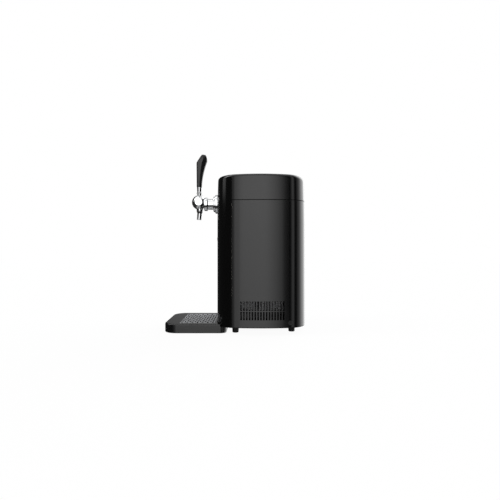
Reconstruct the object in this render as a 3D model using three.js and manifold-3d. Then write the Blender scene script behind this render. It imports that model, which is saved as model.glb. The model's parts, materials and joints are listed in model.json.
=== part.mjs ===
// Countertop cooler and tap for a five-litre keg.
// Millimetres. X runs across the cabinet, the tap and drip tray face -Y, Z is up from the worktop.
// Pieces are laid out from the worktop point under the middle of the cabinet. The finished group is then
// moved along Y, so that its own origin is on the worktop under the middle of the whole machine.
import * as THREE from 'three';
import { mergeVertices } from 'three/addons/utils/BufferGeometryUtils.js';
import Module from 'manifold-3d';

const wasm = await Module();
wasm.setup();

// ---------------------------------------------------------------- driving dimensions

const GAP = 0.4; // clearance left between neighbouring pieces
const PAST = 5; // how far a cutting tool reaches past the wall it cuts
const SMOOTH = 4; // half the chords in each arc of an outline
const FINE_SIDES = 36;
const ROUND_SIDES = 20;
const SMALL_SIDES = 12;

const CABINET = {
  width: 262,
  depth: 260,
  bottom: 19.5,
  sideTop: 378,
  top: 453.3,
  cornerRadius: 60,
  sideCrown: 4,
  frontCrown: 3.5,
  wall: 3,
  edgeRadius: 9,
  fasciaBack: -82,
};
const PAN = {
  thickness: 5, postRadius: 6, postX: 100, postY: 70,
  slotCount: 7, slotWidth: 5, slotLength: 70, slotPitch: 11,
};
const FOOT = { radius: 10, taper: 1, frontX: 84, frontY: -73, rearX: 69, rearY: 91 };
const VENT = { count: 16, pitch: 7.9, width: 5, middleY: 3.5, rows: [[42.5, 66], [68.5, 95]] };
const PLUG = { radius: 7.2, face: 126.2, thickness: 4, y: 82, z: 34 };

const CAVITY = {
  y: 18, radius: 90, floor: 112, wall: 2, floorPlate: 2.9, rimBottom: 370.5, rimTop: 372.5, rimRadius: 100,
};
const FOAM = { bottom: 100, front: -100 };
const DECK = { bottom: 372.9, top: 376 };
const GASKET = { outer: 3.8, inner: 8, top: 379.6 };

const COLD_PLATE = { side: 60 };
const PELTIER = { side: 40, thickness: 3.6 };
const HEAT_SINK = { halfX: 90, front: -58, back: 79, base: 6, finDrop: 24, finThickness: 2, finCount: 15 };
const FAN = {
  half: 46, top: 63, thickness: 25, bore: 43.6, floor: 3, motorRadius: 17, strutWidth: 5, postSide: 8,
  axleRadius: 2, axleHeight: 14,
};
const ROTOR = { hubRadius: 18, height: 17, reach: 42, bladeCount: 7, bladeTilt: 0.6, bladeThickness: 1.6 };

const LID = { bottom: 380, inset: 1, wall: 3, flange: 2, domeRadius: 84, domeTop: 432, domeWall: 2 };
const LINE_SLOT = { halfWidth: 8, top: 402 };

const BOARD = {
  y: -117.6, thickness: 1.6, halfWidth: 30, bottom: 250, top: 330, bossRadius: 3.5, bossX: 25, bossInset: 6,
};
const SOCKET = { halfWidth: 8, depth: 9, bottom: 254, top: 262 };
const DISPLAY = { halfWidth: 24, bottom: 290, top: 314, proud: 0.3, lip: 3, lipDepth: 1.2 };
const BUTTON = { radius: 6, z: 272, x: 15, proud: 1.6, lip: 2, lipDepth: 1.4, travel: 1, keyRadius: 3 };

const POWER = {
  y: 118, proud: 4, halfWidth: 13, bottom: 27, top: 39, socketHalfX: 9, socketHalfZ: 3.6, socketDepth: 10,
  pinRadius: 1, pinX: 4.5,
};
const ROCKER = {
  x: 38, halfWidth: 10, proud: 1.5, wellHalfX: 7.5, wellHalfZ: 5, depth: 9, pivotIn: 5, restTiltDegrees: 6,
  capHalf: 4, capOut: 6, dish: 1, rootHalf: 2,
};

const TAP = { z: 380 };
const FLANGE = { back: -130.5, front: -144, radius: 29, shoulder: 24, step: -137, edge: 1.5, bore: 11.4 };
const SHANK = { front: -162, sleeveBack: -144.4, sleeveRadius: 16.5, radius: 11, tail: -110, bore: 5 };
const NUT = { front: -126.6, back: -118, radius: 18 };
const COLLAR = { front: -173, back: -162.4, radius: 20.5, chamfer: 2 };
const BALL = {
  y: -189, z: 386, radius: 22.7, flat: 20.8, neckRadius: 11, neckBack: -162.4, waterway: 4.2, hollow: 9.2,
};
const SPOUT = {
  radius: 7.5, bore: 4.5, top: 366, bottom: 332, lean: 0.08, y: -187.4, bossRadius: 10, bossBottom: 359,
};
const PIN = { radius: 2, clearance: 0.3 };
const LEVER = {
  hubRadius: 4, halfWidth: 5.8, stemRadius: 6, stemTop: 433, threadRadius: 4, threadTop: 455,
  drop: 6, fingerRadius: 2.5, fingerHalf: 3, travel: 0.7,
};
const FERRULE = { bottom: 412, top: 418, radius: 8.2 };
const PLUNGER = { radius: 2.8, back: -152, sealBack: -147, sealRadius: 4.5 };
const HANDLE = {
  bottom: 433.4, top: 534, halfWidth: 14, edge: 4, front: -196.5, shoulderZ: 509, baseBack: -181.5,
  waistY: -180, waistZ: 478, bulgeBack: -164.5, bulgeZ: 514, peakFront: -181, peakBack: -171,
};

const KEG_HEAD = {
  bottom: 372, skirtRadius: 20, skirtTop: 381, radius: 12, top: 398,
  outletZ: 392, outletRadius: 5, outletReach: 30,
};
const GAS = {
  z: 414, bodyFrom: -62, bodyTo: -30, bodyRadius: 13, legX: -46, legRadius: 5, inletZ: 389,
  knobEnd: -78, knobRadius: 10, knobChamfer: 1.5,
};
const CARTRIDGE = { from: -29.6, to: 46, radius: 11, neck: 9 };
const BEER_LINE = { radius: 4, levelZ: 391, run: 30, drop: 10, rise: 4 };
const LEAD = {
  radius: 2, fanX: -4, fanZ: 50, fanRun: 30, riseZ: 90, levelZ: 160,
  powerX: 6, powerZ: 32, powerRun: 10, floorZ: 31, bendX: 40, backY: 95,
  outX: 60, sideBack: 60, sideFront: -40, turnX: 30, turnY: -90, turnZ: 40, boardX: 4,
};

const HINGE = {
  y: 132.8, z: 380, radius: 3, halfLength: 26, lidHalf: 9, pinRadius: 1.3, leaf: 1.5,
  baseBottom: 350, baseTop: 374, lidTop: 408, lidLeafBottom: 382.8,
};
const SCREW = {
  radius: 1.3, hole: 1.6, headRadius: 2.6, headTop: 2, headHeight: 1.3, length: 5.2,
  x: 18, baseZ: 361, lidZ: 397,
};

const TRAY = {
  front: -281, back: -99, top: 26, wall: 2.5, halfWidth: 101, frontCorner: 39, backCorner: 19,
  wellFront: -237, wellBack: -134, wellHalf: 84, ledge: 3, ledgeZ: 22.6, tongueTop: 18.7, bodyGap: 1,
};
const GRID = {
  thickness: 2.4, slotWidth: 4.2, slotLength: 21, pitchX: 27, pitchY: 7.6, columns: 6, rows: 13,
};

const CASE_BACK = CABINET.depth / 2;
const CASE_FRONT = -CASE_BACK;
const FRONT_INSIDE = CASE_FRONT + CABINET.wall + 2 * GAP; // clear of the bowed front wall
const LEAF_FACE = CASE_BACK + GAP; // Y where the hinge's fixed leaf lies on the cabinet
const LID_LEAF_FACE = CASE_BACK - LID.inset + GAP;

// ---------------------------------------------------------------- building solids

/** Turns a closed three.js geometry into a solid that can be cut and joined. */
function solidOf(geometry) {
  geometry.deleteAttribute('normal');
  geometry.deleteAttribute('uv');
  const merged = mergeVertices(geometry, 1e-4);
  const vertProperties = new Float32Array(merged.attributes.position.array);
  const triVerts = new Uint32Array(merged.index.array);
  return new wasm.Manifold(new wasm.Mesh({ numProp: 3, vertProperties, triVerts }));
}

/** Turns a solid back into a geometry for a mesh. */
function geometryOf(solid) {
  const { numProp, vertProperties, triVerts } = solid.getMesh();
  const positions = new Float32Array(vertProperties.length / numProp * 3);
  for (let vertex = 0; vertex * numProp < vertProperties.length; vertex += 1) {
    positions.set(vertProperties.subarray(vertex * numProp, vertex * numProp + 3), vertex * 3);
  }
  const geometry = new THREE.BufferGeometry();
  geometry.setAttribute('position', new THREE.BufferAttribute(positions, 3));
  geometry.setIndex(new THREE.BufferAttribute(new Uint32Array(triVerts), 1));
  geometry.computeVertexNormals();
  return geometry;
}

/** A box given by its low and high coordinate on each axis. */
function block([x0, x1], [y0, y1], [z0, z1]) {
  const geometry = new THREE.BoxGeometry(x1 - x0, y1 - y0, z1 - z0);
  return solidOf(geometry.translate((x0 + x1) / 2, (y0 + y1) / 2, (z0 + z1) / 2));
}

/** Turns a geometry made around Y so that its axis lies along the named axis, then moves it. */
function lay(geometry, axis, [a, b]) {
  if (axis === 'x') return geometry.rotateZ(-Math.PI / 2).translate(0, a, b);
  if (axis === 'y') return geometry.translate(a, 0, b);
  return geometry.rotateX(Math.PI / 2).translate(a, b, 0);
}

/** A round bar along an axis, centred on the other two coordinates. */
function rod(axis, radius, from, to, centre, sides = ROUND_SIDES) {
  const geometry = new THREE.CylinderGeometry(radius, radius, to - from, sides);
  return solidOf(lay(geometry.translate(0, (from + to) / 2, 0), axis, centre));
}

/** A turned piece: `profile` lists [radius, distance along the axis], outwards first. */
function turned(axis, profile, centre, sides = ROUND_SIDES) {
  const points = profile.map(([radius, along]) => new THREE.Vector2(radius, along));
  return solidOf(lay(new THREE.LatheGeometry(points, sides), axis, centre));
}

/** An outline in the XY plane raised from one height to another. */
function prism(shape, bottom, top) {
  const depth = top - bottom;
  const geometry = new THREE.ExtrudeGeometry(shape, { depth, bevelEnabled: false, curveSegments: SMOOTH });
  return solidOf(geometry.translate(0, 0, bottom));
}

/** A raised outline whose top edge is rounded over. */
function roundTopPrism(shape, bottom, top, radius) {
  const geometry = new THREE.ExtrudeGeometry(shape, {
    depth: top - bottom - radius,
    bevelThickness: radius,
    bevelSize: radius,
    bevelOffset: -radius,
    bevelSegments: SMOOTH,
    curveSegments: SMOOTH,
  });
  const reach = CABINET.width;
  const below = block([-reach, reach], [-reach, reach], [bottom - radius - PAST, bottom]);
  return solidOf(geometry.translate(0, 0, bottom)).subtract(below);
}

/** An outline drawn in the YZ plane and drawn out to both sides along X, with optional rounded edges. */
function sideProfile(shape, halfWidth, edge = 0) {
  const geometry = new THREE.ExtrudeGeometry(shape, {
    depth: 2 * (halfWidth - edge),
    bevelEnabled: edge > 0,
    bevelThickness: edge,
    bevelSize: edge,
    bevelOffset: -edge,
    bevelSegments: SMOOTH - 1,
    curveSegments: 2 * SMOOTH,
  });
  geometry.translate(0, 0, edge - halfWidth);
  return solidOf(geometry.rotateZ(Math.PI / 2).rotateY(Math.PI / 2));
}

/** A round flexible piece along a smooth curve through the points. */
function hose(points, radius, steps) {
  const section = new THREE.Shape().absarc(0, 0, radius, 0, 2 * Math.PI, false);
  const extrudePath = new THREE.CatmullRomCurve3(points.map((point) => new THREE.Vector3(...point)));
  const settings = { extrudePath, steps, curveSegments: SMOOTH, bevelEnabled: false };
  return solidOf(new THREE.ExtrudeGeometry(section, settings));
}

function joined(solids) {
  return solids.reduce((whole, solid) => whole.add(solid));
}

function mirrored(value) {
  return [-value, value];
}

function around(middle, half) {
  return [middle - half, middle + half];
}

/** Everything behind the plane Y = y. */
function behind(y) {
  const reach = 2 * CABINET.width;
  return block([-reach, reach], [y, reach], [-reach, reach]);
}

// ---------------------------------------------------------------- cabinet casing

/** Plan of the cabinet: flat back, bowed front and sides, round corners, moved in by `inset`. */
function cabinetPlan(inset) {
  const { cornerRadius, sideCrown, frontCrown } = CABINET;
  const backY = CASE_BACK - cornerRadius;
  const frontY = backY - frontCrown;
  const sideRadius = (backY ** 2 + sideCrown ** 2) / (2 * sideCrown);
  const sideX = CABINET.width / 2 - sideRadius;
  const reach = sideRadius - cornerRadius;
  const backTurn = Math.asin(backY / reach);
  const frontTurn = Math.asin(frontY / reach);
  const backX = sideX + reach * Math.cos(backTurn);
  const frontX = sideX + reach * Math.cos(frontTurn);
  const frontRadius = cornerRadius + (frontX ** 2 + frontCrown ** 2) / (2 * frontCrown);
  const spread = Math.asin(frontX / (frontRadius - cornerRadius));
  const corner = cornerRadius - inset;
  const plan = new THREE.Shape();
  plan.absarc(sideX, 0, sideRadius - inset, -frontTurn, backTurn, false);
  plan.absarc(backX, backY, corner, backTurn, Math.PI / 2, false);
  plan.absarc(-backX, backY, corner, Math.PI / 2, Math.PI - backTurn, false);
  plan.absarc(-sideX, 0, sideRadius - inset, Math.PI - backTurn, Math.PI + frontTurn, false);
  plan.absarc(-frontX, -frontY, corner, Math.PI + frontTurn, 1.5 * Math.PI - spread, false);
  plan.absarc(0, CASE_FRONT + frontRadius, frontRadius - inset,
    1.5 * Math.PI - spread, 1.5 * Math.PI + spread, false);
  plan.absarc(frontX, -frontY, corner, 1.5 * Math.PI + spread, 2 * Math.PI - frontTurn, false);
  return plan;
}

/** Solid that fills the casing between two heights, for pieces fitted inside its wall. */
function casingFill(bottom, top) {
  return prism(cabinetPlan(CABINET.wall + GAP), bottom, top);
}

function basePan() {
  const top = CABINET.bottom + PAN.thickness;
  const throughPan = [CABINET.bottom - PAST, top + PAST];
  const slots = Array.from({ length: PAN.slotCount }, (_, index) => {
    const x = (index - (PAN.slotCount - 1) / 2) * PAN.slotPitch;
    return block(around(x, PAN.slotWidth / 2), around(CAVITY.y, PAN.slotLength / 2), throughPan);
  });
  const posts = mirrored(PAN.postX).flatMap((x) => mirrored(PAN.postY).map((y) =>
    rod('z', PAN.postRadius, top - GAP, FOAM.bottom - GAP, [x, y], SMALL_SIDES)));
  return joined([casingFill(CABINET.bottom, top).subtract(joined(slots)), ...posts]);
}

function sideShell() {
  const outside = prism(cabinetPlan(0), CABINET.bottom, CABINET.sideTop);
  const inside = prism(cabinetPlan(CABINET.wall), CABINET.bottom - PAST, CABINET.sideTop + PAST);
  return outside.subtract(inside)
    .intersect(behind(CABINET.fasciaBack + GAP))
    .subtract(ventSlots())
    .subtract(rearOpenings())
    .subtract(rod('x', PLUG.radius, -CABINET.width, CABINET.width, [PLUG.y, PLUG.z]));
}

/** The slots of both rows, each one long enough to cut both sides at once. */
function ventSlots() {
  const slots = VENT.rows.flatMap((heights) => Array.from({ length: VENT.count }, (_, index) => {
    const y = VENT.middleY + (index - (VENT.count - 1) / 2) * VENT.pitch;
    return block(mirrored(CABINET.width), around(y, VENT.width / 2), heights);
  }));
  return joined(slots);
}

/** Openings in the back wall for the power inlet, the power switch and the hinge screws. */
function rearOpenings() {
  const throughWall = [CASE_BACK - CABINET.wall - PAST, CASE_BACK + PAST];
  const heights = [POWER.bottom - GAP, POWER.top + GAP];
  const inlet = block(mirrored(POWER.halfWidth + GAP), throughWall, heights);
  const rocker = block(around(ROCKER.x, ROCKER.halfWidth + GAP), throughWall, heights);
  return joined([inlet, rocker, screwHoles(SCREW.x, SCREW.baseZ, throughWall)]);
}

/** A pair of screw holes at the same height, one each side of the middle. */
function screwHoles(x, z, [from, to]) {
  return joined(mirrored(x).map((side) => rod('y', SCREW.hole, from, to, [side, z], SMALL_SIDES)));
}

/** Front column: a curved skin from foot level to the very top, closed behind at lid height. */
function frontFascia() {
  const { bottom, top, wall, edgeRadius, fasciaBack } = CABINET;
  const outside = roundTopPrism(cabinetPlan(0), bottom, top, edgeRadius);
  const inside = roundTopPrism(cabinetPlan(wall), bottom - PAST, top - wall, edgeRadius - wall);
  const backWall = outside.intersect(
    block(mirrored(CABINET.width), [fasciaBack - wall, fasciaBack + PAST], [LID.bottom, top]));
  return joined([outside.subtract(inside), backWall, ...boardBosses()])
    .subtract(behind(fasciaBack))
    .subtract(lineSlot([fasciaBack - wall - PAST, fasciaBack + PAST]))
    .subtract(controlOpenings());
}

/** Stubs inside the front wall that the control board is fixed to. */
function boardBosses() {
  const wallInside = CASE_FRONT + CABINET.wall - GAP;
  const heights = [BOARD.bottom + BOARD.bossInset, BOARD.top - BOARD.bossInset];
  return mirrored(BOARD.bossX).flatMap((x) => heights.map((z) =>
    rod('y', BOARD.bossRadius, wallInside, BOARD.y - BOARD.thickness - GAP, [x, z], SMALL_SIDES)));
}

/** Openings in the front wall for the shank, the display and the two buttons. */
function controlOpenings() {
  const throughFront = [CASE_FRONT - PAST, CASE_FRONT + CABINET.wall + PAST];
  const skinOnly = [CASE_FRONT - PAST, FRONT_INSIDE];
  const shank = rod('y', SHANK.radius + GAP, ...throughFront, [0, TAP.z]);
  const display = block(mirrored(DISPLAY.halfWidth), skinOnly, [DISPLAY.bottom, DISPLAY.top]);
  const buttons = mirrored(BUTTON.x).map((x) => rod('y', BUTTON.radius, ...skinOnly, [x, BUTTON.z]));
  return joined([shank, display, ...buttons]);
}

/** Slot for the beer line through an upright wall. */
function lineSlot(depths) {
  return block(mirrored(LINE_SLOT.halfWidth), depths, [LID.bottom - PAST, LINE_SLOT.top]);
}

function foot(x, y) {
  const top = CABINET.bottom - GAP;
  return turned('z', [[0, 0], [FOOT.radius - FOOT.taper, 0], [FOOT.radius, top], [0, top]], [x, y]);
}

function sidePlug(side) {
  const plug = rod('x', PLUG.radius - GAP, PLUG.face - PLUG.thickness, PLUG.face, [PLUG.y, PLUG.z]);
  return side > 0 ? plug : plug.mirror([1, 0, 0]);
}

// ---------------------------------------------------------------- cold side

function cavityLiner() {
  const { radius, wall, floor, floorPlate, rimBottom, rimTop, rimRadius } = CAVITY;
  const under = floor - floorPlate;
  const profile = [
    [0, under], [radius + wall, under], [radius + wall, rimBottom], [rimRadius, rimBottom],
    [rimRadius, rimTop], [radius, rimTop], [radius, floor], [0, floor],
  ];
  return turned('z', profile, [0, CAVITY.y], FINE_SIDES);
}

function cavityFoam() {
  const top = CAVITY.rimBottom - GAP;
  const floorTop = CAVITY.floor - CAVITY.floorPlate - GAP;
  const bore = rod('z', CAVITY.radius + CAVITY.wall + GAP, floorTop, top + PAST, [0, CAVITY.y], FINE_SIDES);
  const plateHole = squareOnAxis(COLD_PLATE.side + 2 * GAP, FOAM.bottom - PAST, floorTop + PAST);
  return casingFill(FOAM.bottom, top).intersect(behind(FOAM.front)).subtract(bore).subtract(plateHole);
}

function topDeck() {
  const hole = rod('z', CAVITY.radius, DECK.bottom - PAST, DECK.top + PAST, [0, CAVITY.y], FINE_SIDES);
  return casingFill(DECK.bottom, DECK.top).intersect(behind(FOAM.front)).subtract(hole);
}

function deckGasket() {
  const bottom = DECK.top + GAP;
  const inside = lidFill(GASKET.inner, bottom - PAST, GASKET.top + PAST);
  return lidFill(GASKET.outer, bottom, GASKET.top).subtract(inside);
}

function squareOnAxis(side, bottom, top) {
  return block(mirrored(side / 2), around(CAVITY.y, side / 2), [bottom, top]);
}

function coldPlate() {
  return squareOnAxis(COLD_PLATE.side, FOAM.bottom + GAP, CAVITY.floor - CAVITY.floorPlate - GAP);
}

function peltierModule() {
  return squareOnAxis(PELTIER.side, FOAM.bottom - PELTIER.thickness, FOAM.bottom);
}

function heatSinkTop() {
  return FOAM.bottom - PELTIER.thickness - GAP;
}

function heatSink() {
  const { halfX, front, back, base, finDrop, finThickness, finCount } = HEAT_SINK;
  const baseBottom = heatSinkTop() - base;
  const fins = Array.from({ length: finCount }, (_, index) => {
    const y = front + index * (back - front - finThickness) / (finCount - 1);
    return block(mirrored(halfX), [y, y + finThickness], [baseBottom - finDrop, baseBottom + GAP]);
  });
  const plate = block(mirrored(halfX), [front, back], [baseBottom, heatSinkTop()]);
  return joined([plate, ...fins]);
}

function fanFrame() {
  const { half, top, thickness, bore, floor, motorRadius, strutWidth, axleRadius, axleHeight } = FAN;
  const bottom = top - thickness;
  const centre = [0, CAVITY.y];
  const body = squareOnAxis(2 * half, bottom, top)
    .subtract(rod('z', bore, bottom - PAST, top + PAST, centre, FINE_SIDES));
  const heights = [bottom, bottom + floor];
  const struts = [
    block(mirrored(half - GAP), around(CAVITY.y, strutWidth / 2), heights),
    block(mirrored(strutWidth / 2), around(CAVITY.y, half - GAP), heights),
  ];
  const motor = rod('z', motorRadius, ...heights, centre);
  const axle = rod('z', axleRadius, bottom, bottom + floor + axleHeight, centre, SMALL_SIDES);
  return joined([body, ...struts, motor, axle, ...fanPosts()]);
}

/** Corner posts that hold the fan below the tips of the fins. */
function fanPosts() {
  const reach = FAN.half - FAN.postSide / 2;
  const heights = [FAN.top - GAP, heatSinkTop() - HEAT_SINK.base - HEAT_SINK.finDrop - GAP];
  return mirrored(reach).flatMap((x) => mirrored(reach).map((y) =>
    block(around(x, FAN.postSide / 2), around(CAVITY.y + y, FAN.postSide / 2), heights)));
}

function fanRotor() {
  const { hubRadius, height, reach, bladeCount, bladeTilt, bladeThickness } = ROTOR;
  const bottom = FAN.top - FAN.thickness + FAN.floor + GAP;
  const blades = Array.from({ length: bladeCount }, (_, index) => {
    const blade = new THREE.BoxGeometry(reach - hubRadius + PAST, bladeThickness, height);
    blade.rotateX(bladeTilt).translate((reach + hubRadius - PAST) / 2, 0, bottom + height / 2);
    return solidOf(blade.rotateZ(index * 2 * Math.PI / bladeCount));
  });
  const hub = rod('z', hubRadius, bottom, bottom + height, [0, 0]);
  const boreRadius = FAN.axleRadius + PIN.clearance;
  const bore = rod('z', boreRadius, bottom - PAST, bottom + FAN.axleHeight + GAP, [0, 0], SMALL_SIDES);
  return joined([hub, ...blades]).subtract(bore).translate([0, CAVITY.y, 0]);
}

// ---------------------------------------------------------------- lid

/** Solid with the lid's plan, moved in by `inset` on every side, its top edge rounded by `radius`. */
function lidFill(inset, bottom, top, radius = 0) {
  const plan = cabinetPlan(LID.inset + inset);
  const solid = radius > 0 ? roundTopPrism(plan, bottom, top, radius) : prism(plan, bottom, top);
  return solid.intersect(behind(CABINET.fasciaBack + GAP + inset));
}

/** Slot that lets the lid drop over the beer line at the front. */
function lidLineSlot() {
  return lineSlot([CABINET.fasciaBack - PAST, CAVITY.y - LID.domeRadius / 2]);
}

function lidDome(radius, bottom, top) {
  return rod('z', radius, bottom, top, [0, CAVITY.y], FINE_SIDES);
}

function lidShell() {
  const throughBack = [CASE_BACK - LID.inset - LID.wall - PAST, CASE_BACK + PAST];
  return lidFill(0, LID.bottom, CABINET.top, CABINET.edgeRadius)
    .subtract(lidFill(LID.wall, LID.bottom - PAST, CABINET.top - LID.wall, CABINET.edgeRadius - LID.wall))
    .subtract(lidLineSlot())
    .subtract(screwHoles(SCREW.x, SCREW.lidZ, throughBack));
}

function lidLiner() {
  const flange = lidFill(LID.wall + GAP, LID.bottom, LID.bottom + LID.flange);
  return flange.add(lidDome(LID.domeRadius + LID.domeWall, LID.bottom, LID.domeTop + LID.domeWall))
    .subtract(lidDome(LID.domeRadius, LID.bottom - PAST, LID.domeTop))
    .subtract(lidLineSlot());
}

function lidFoam() {
  const bottom = LID.bottom + LID.flange + GAP;
  const top = CABINET.top - LID.wall - GAP;
  return lidFill(LID.wall + GAP, bottom, top, CABINET.edgeRadius - LID.wall)
    .subtract(lidDome(LID.domeRadius + LID.domeWall + GAP, bottom - PAST, LID.domeTop + LID.domeWall + GAP))
    .subtract(lidLineSlot());
}

// ---------------------------------------------------------------- hinge

function knuckle([from, to]) {
  return rod('x', HINGE.radius, from, to, [HINGE.y, HINGE.z]);
}

function pinBore() {
  const radius = HINGE.pinRadius + PIN.clearance;
  return rod('x', radius, ...mirrored(HINGE.halfLength + PAST), [HINGE.y, HINGE.z], SMALL_SIDES);
}

/** Fixed leaf: a plate on the back of the cabinet with a knuckle at each end. */
function hingeLeafBase() {
  const thickness = [LEAF_FACE, LEAF_FACE + HINGE.leaf];
  const sides = [[-HINGE.halfLength, -HINGE.lidHalf - GAP], [HINGE.lidHalf + GAP, HINGE.halfLength]];
  const plate = block(mirrored(HINGE.halfLength), thickness, [HINGE.baseBottom, HINGE.baseTop]);
  const arms = sides.map((span) => block(span, thickness, [HINGE.baseTop - GAP, HINGE.z]));
  return joined([plate, ...arms, ...sides.map(knuckle)])
    .subtract(pinBore())
    .subtract(screwHoles(SCREW.x, SCREW.baseZ, around(LEAF_FACE, PAST)));
}

/** Moving leaf: a plate on the back of the lid with the middle knuckle. */
function hingeLeafLid() {
  const width = mirrored(HINGE.lidHalf);
  const armHeights = [HINGE.z + HINGE.pinRadius + PIN.clearance, HINGE.lidLeafBottom + GAP];
  const thickness = [LID_LEAF_FACE, LID_LEAF_FACE + HINGE.leaf];
  const plate = block(mirrored(HINGE.halfLength), thickness, [HINGE.lidLeafBottom, HINGE.lidTop]);
  const arm = block(width, [LID_LEAF_FACE, HINGE.y], armHeights);
  return joined([plate, arm, knuckle(width)])
    .subtract(pinBore())
    .subtract(screwHoles(SCREW.x, SCREW.lidZ, around(LID_LEAF_FACE, PAST)));
}

function hingePin() {
  return rod('x', HINGE.pinRadius, ...mirrored(HINGE.halfLength), [HINGE.y, HINGE.z], SMALL_SIDES);
}

/** Pan-head screw pointing forward, its head resting against the outside of a leaf. */
function leafScrew(x, z, leafFace) {
  const seat = leafFace + HINGE.leaf + GAP;
  const tip = seat - SCREW.length;
  const end = seat + SCREW.headHeight;
  const stem = [[0, tip], [SCREW.radius, tip], [SCREW.radius, seat]];
  const head = [[SCREW.headRadius, seat], [SCREW.headTop, end], [0, end]];
  return turned('y', [...stem, ...head], [x, z], SMALL_SIDES);
}

// ---------------------------------------------------------------- controls and power

function controlBoard() {
  const faces = [BOARD.y - BOARD.thickness, BOARD.y];
  const board = block(mirrored(BOARD.halfWidth), faces, [BOARD.bottom, BOARD.top]);
  const socketDepths = [BOARD.y - GAP, BOARD.y + SOCKET.depth];
  const socket = block(mirrored(SOCKET.halfWidth), socketDepths, [SOCKET.bottom, SOCKET.top]);
  const keyFront = buttonBack() + BUTTON.travel + GAP;
  const keys = mirrored(BUTTON.x).map((x) =>
    rod('y', BUTTON.keyRadius, keyFront, BOARD.y - BOARD.thickness / 2, [x, BUTTON.z], SMALL_SIDES));
  return joined([board, socket, ...keys]);
}

/** Pane that fills the opening, with a wider lip behind the front wall. */
function displayWindow() {
  const [low, high] = [DISPLAY.bottom, DISPLAY.top];
  const paneDepths = [CASE_FRONT - DISPLAY.proud, FRONT_INSIDE + GAP];
  const pane = block(mirrored(DISPLAY.halfWidth - GAP), paneDepths, [low + GAP, high - GAP]);
  const lipHalf = DISPLAY.halfWidth + DISPLAY.lip - GAP;
  const lipDepths = [FRONT_INSIDE, FRONT_INSIDE + DISPLAY.lipDepth];
  const lip = block(mirrored(lipHalf), lipDepths, [low - DISPLAY.lip, high + DISPLAY.lip]);
  return pane.add(lip);
}

function buttonBack() {
  return FRONT_INSIDE + BUTTON.lipDepth;
}

function button(x) {
  const capFront = CASE_FRONT - BUTTON.proud;
  const capRadius = BUTTON.radius - GAP;
  const lipFront = buttonBack() - BUTTON.lipDepth;
  const lipRadius = BUTTON.radius + BUTTON.lip;
  const cap = [[0, capFront], [capRadius, capFront], [capRadius, lipFront]];
  const lip = [[lipRadius, lipFront], [lipRadius, buttonBack()], [0, buttonBack()]];
  return turned('y', [...cap, ...lip], [x, BUTTON.z]);
}

/** Two-pin mains inlet: a box through the back wall with a recess and its pins. */
function powerInlet() {
  const { halfWidth, bottom, top, socketHalfX, socketHalfZ, socketDepth, pinRadius, pinX } = POWER;
  const back = CASE_BACK + POWER.proud;
  const floor = back - socketDepth;
  const middleZ = (bottom + top) / 2;
  const body = block(mirrored(halfWidth), [POWER.y, back], [bottom, top]);
  const socket = block(mirrored(socketHalfX), [floor, back + PAST], around(middleZ, socketHalfZ));
  const pins = mirrored(pinX).map((x) =>
    rod('y', pinRadius, floor - GAP, back - POWER.proud, [x, middleZ], SMALL_SIDES));
  return joined([body.subtract(socket), ...pins]);
}

function switchBezel() {
  const back = CASE_BACK + ROCKER.proud;
  const middleZ = (POWER.bottom + POWER.top) / 2;
  const body = block(around(ROCKER.x, ROCKER.halfWidth), [POWER.y, back], [POWER.bottom, POWER.top]);
  const well = block(around(ROCKER.x, ROCKER.wellHalfX), [back - ROCKER.depth, back + PAST],
    around(middleZ, ROCKER.wellHalfZ));
  return body.subtract(well);
}

/** The rocker, tipped to its off side. */
function powerRocker() {
  const { capHalf, capOut, dish, rootHalf } = ROCKER;
  const pivotY = CASE_BACK + ROCKER.proud - ROCKER.pivotIn;
  const outline = new THREE.Shape();
  outline.moveTo(-rootHalf, -rootHalf);
  outline.lineTo(capOut - dish, -capHalf);
  outline.lineTo(capOut, -capHalf);
  outline.lineTo(capOut - dish, 0);
  outline.lineTo(capOut, capHalf);
  outline.lineTo(capOut - dish, capHalf);
  outline.lineTo(-rootHalf, rootHalf);
  outline.closePath();
  return sideProfile(outline, ROCKER.wellHalfX - GAP)
    .rotate([-ROCKER.restTiltDegrees, 0, 0])
    .translate([ROCKER.x, pivotY, (POWER.bottom + POWER.top) / 2]);
}

/** Y of the leads' upright run in front of the board's socket. */
function leadRunY() {
  return BOARD.y + SOCKET.depth / 2;
}

/** Last stretch of a lead: up inside the front column and into the socket's underside. */
function leadRise(x) {
  return [LEAD.riseZ, LEAD.levelZ, SOCKET.bottom - GAP].map((z) => [x, leadRunY(), z]);
}

function fanLead() {
  const start = CAVITY.y - FAN.half - GAP;
  const along = [start, start - LEAD.fanRun].map((y) => [LEAD.fanX, y, LEAD.fanZ]);
  return hose([...along, ...leadRise(LEAD.fanX)], LEAD.radius, ROUND_SIDES);
}

/** Mains lead: out of the inlet, along the pan beside the fan and up to the board. */
function powerLead() {
  const start = POWER.y - 2 * GAP;
  const out = [start, start - LEAD.powerRun].map((y) => [LEAD.powerX, y, LEAD.powerZ]);
  const along = [[LEAD.bendX, LEAD.backY], [LEAD.outX, LEAD.sideBack], [LEAD.outX, LEAD.sideFront]]
    .map(([x, y]) => [x, y, LEAD.floorZ]);
  const turn = [LEAD.turnX, LEAD.turnY, LEAD.turnZ];
  return hose([...out, ...along, turn, ...leadRise(LEAD.boardX)], LEAD.radius, FINE_SIDES);
}

// ---------------------------------------------------------------- tap

function faucetFlange() {
  const { bore, front, shoulder, radius, step, back, edge } = FLANGE;
  const profile = [
    [bore, front], [shoulder, front], [radius - edge, step - edge], [radius, step], [radius, back],
    [bore, back], [bore, front],
  ];
  return turned('y', profile, [0, TAP.z], FINE_SIDES);
}

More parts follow.
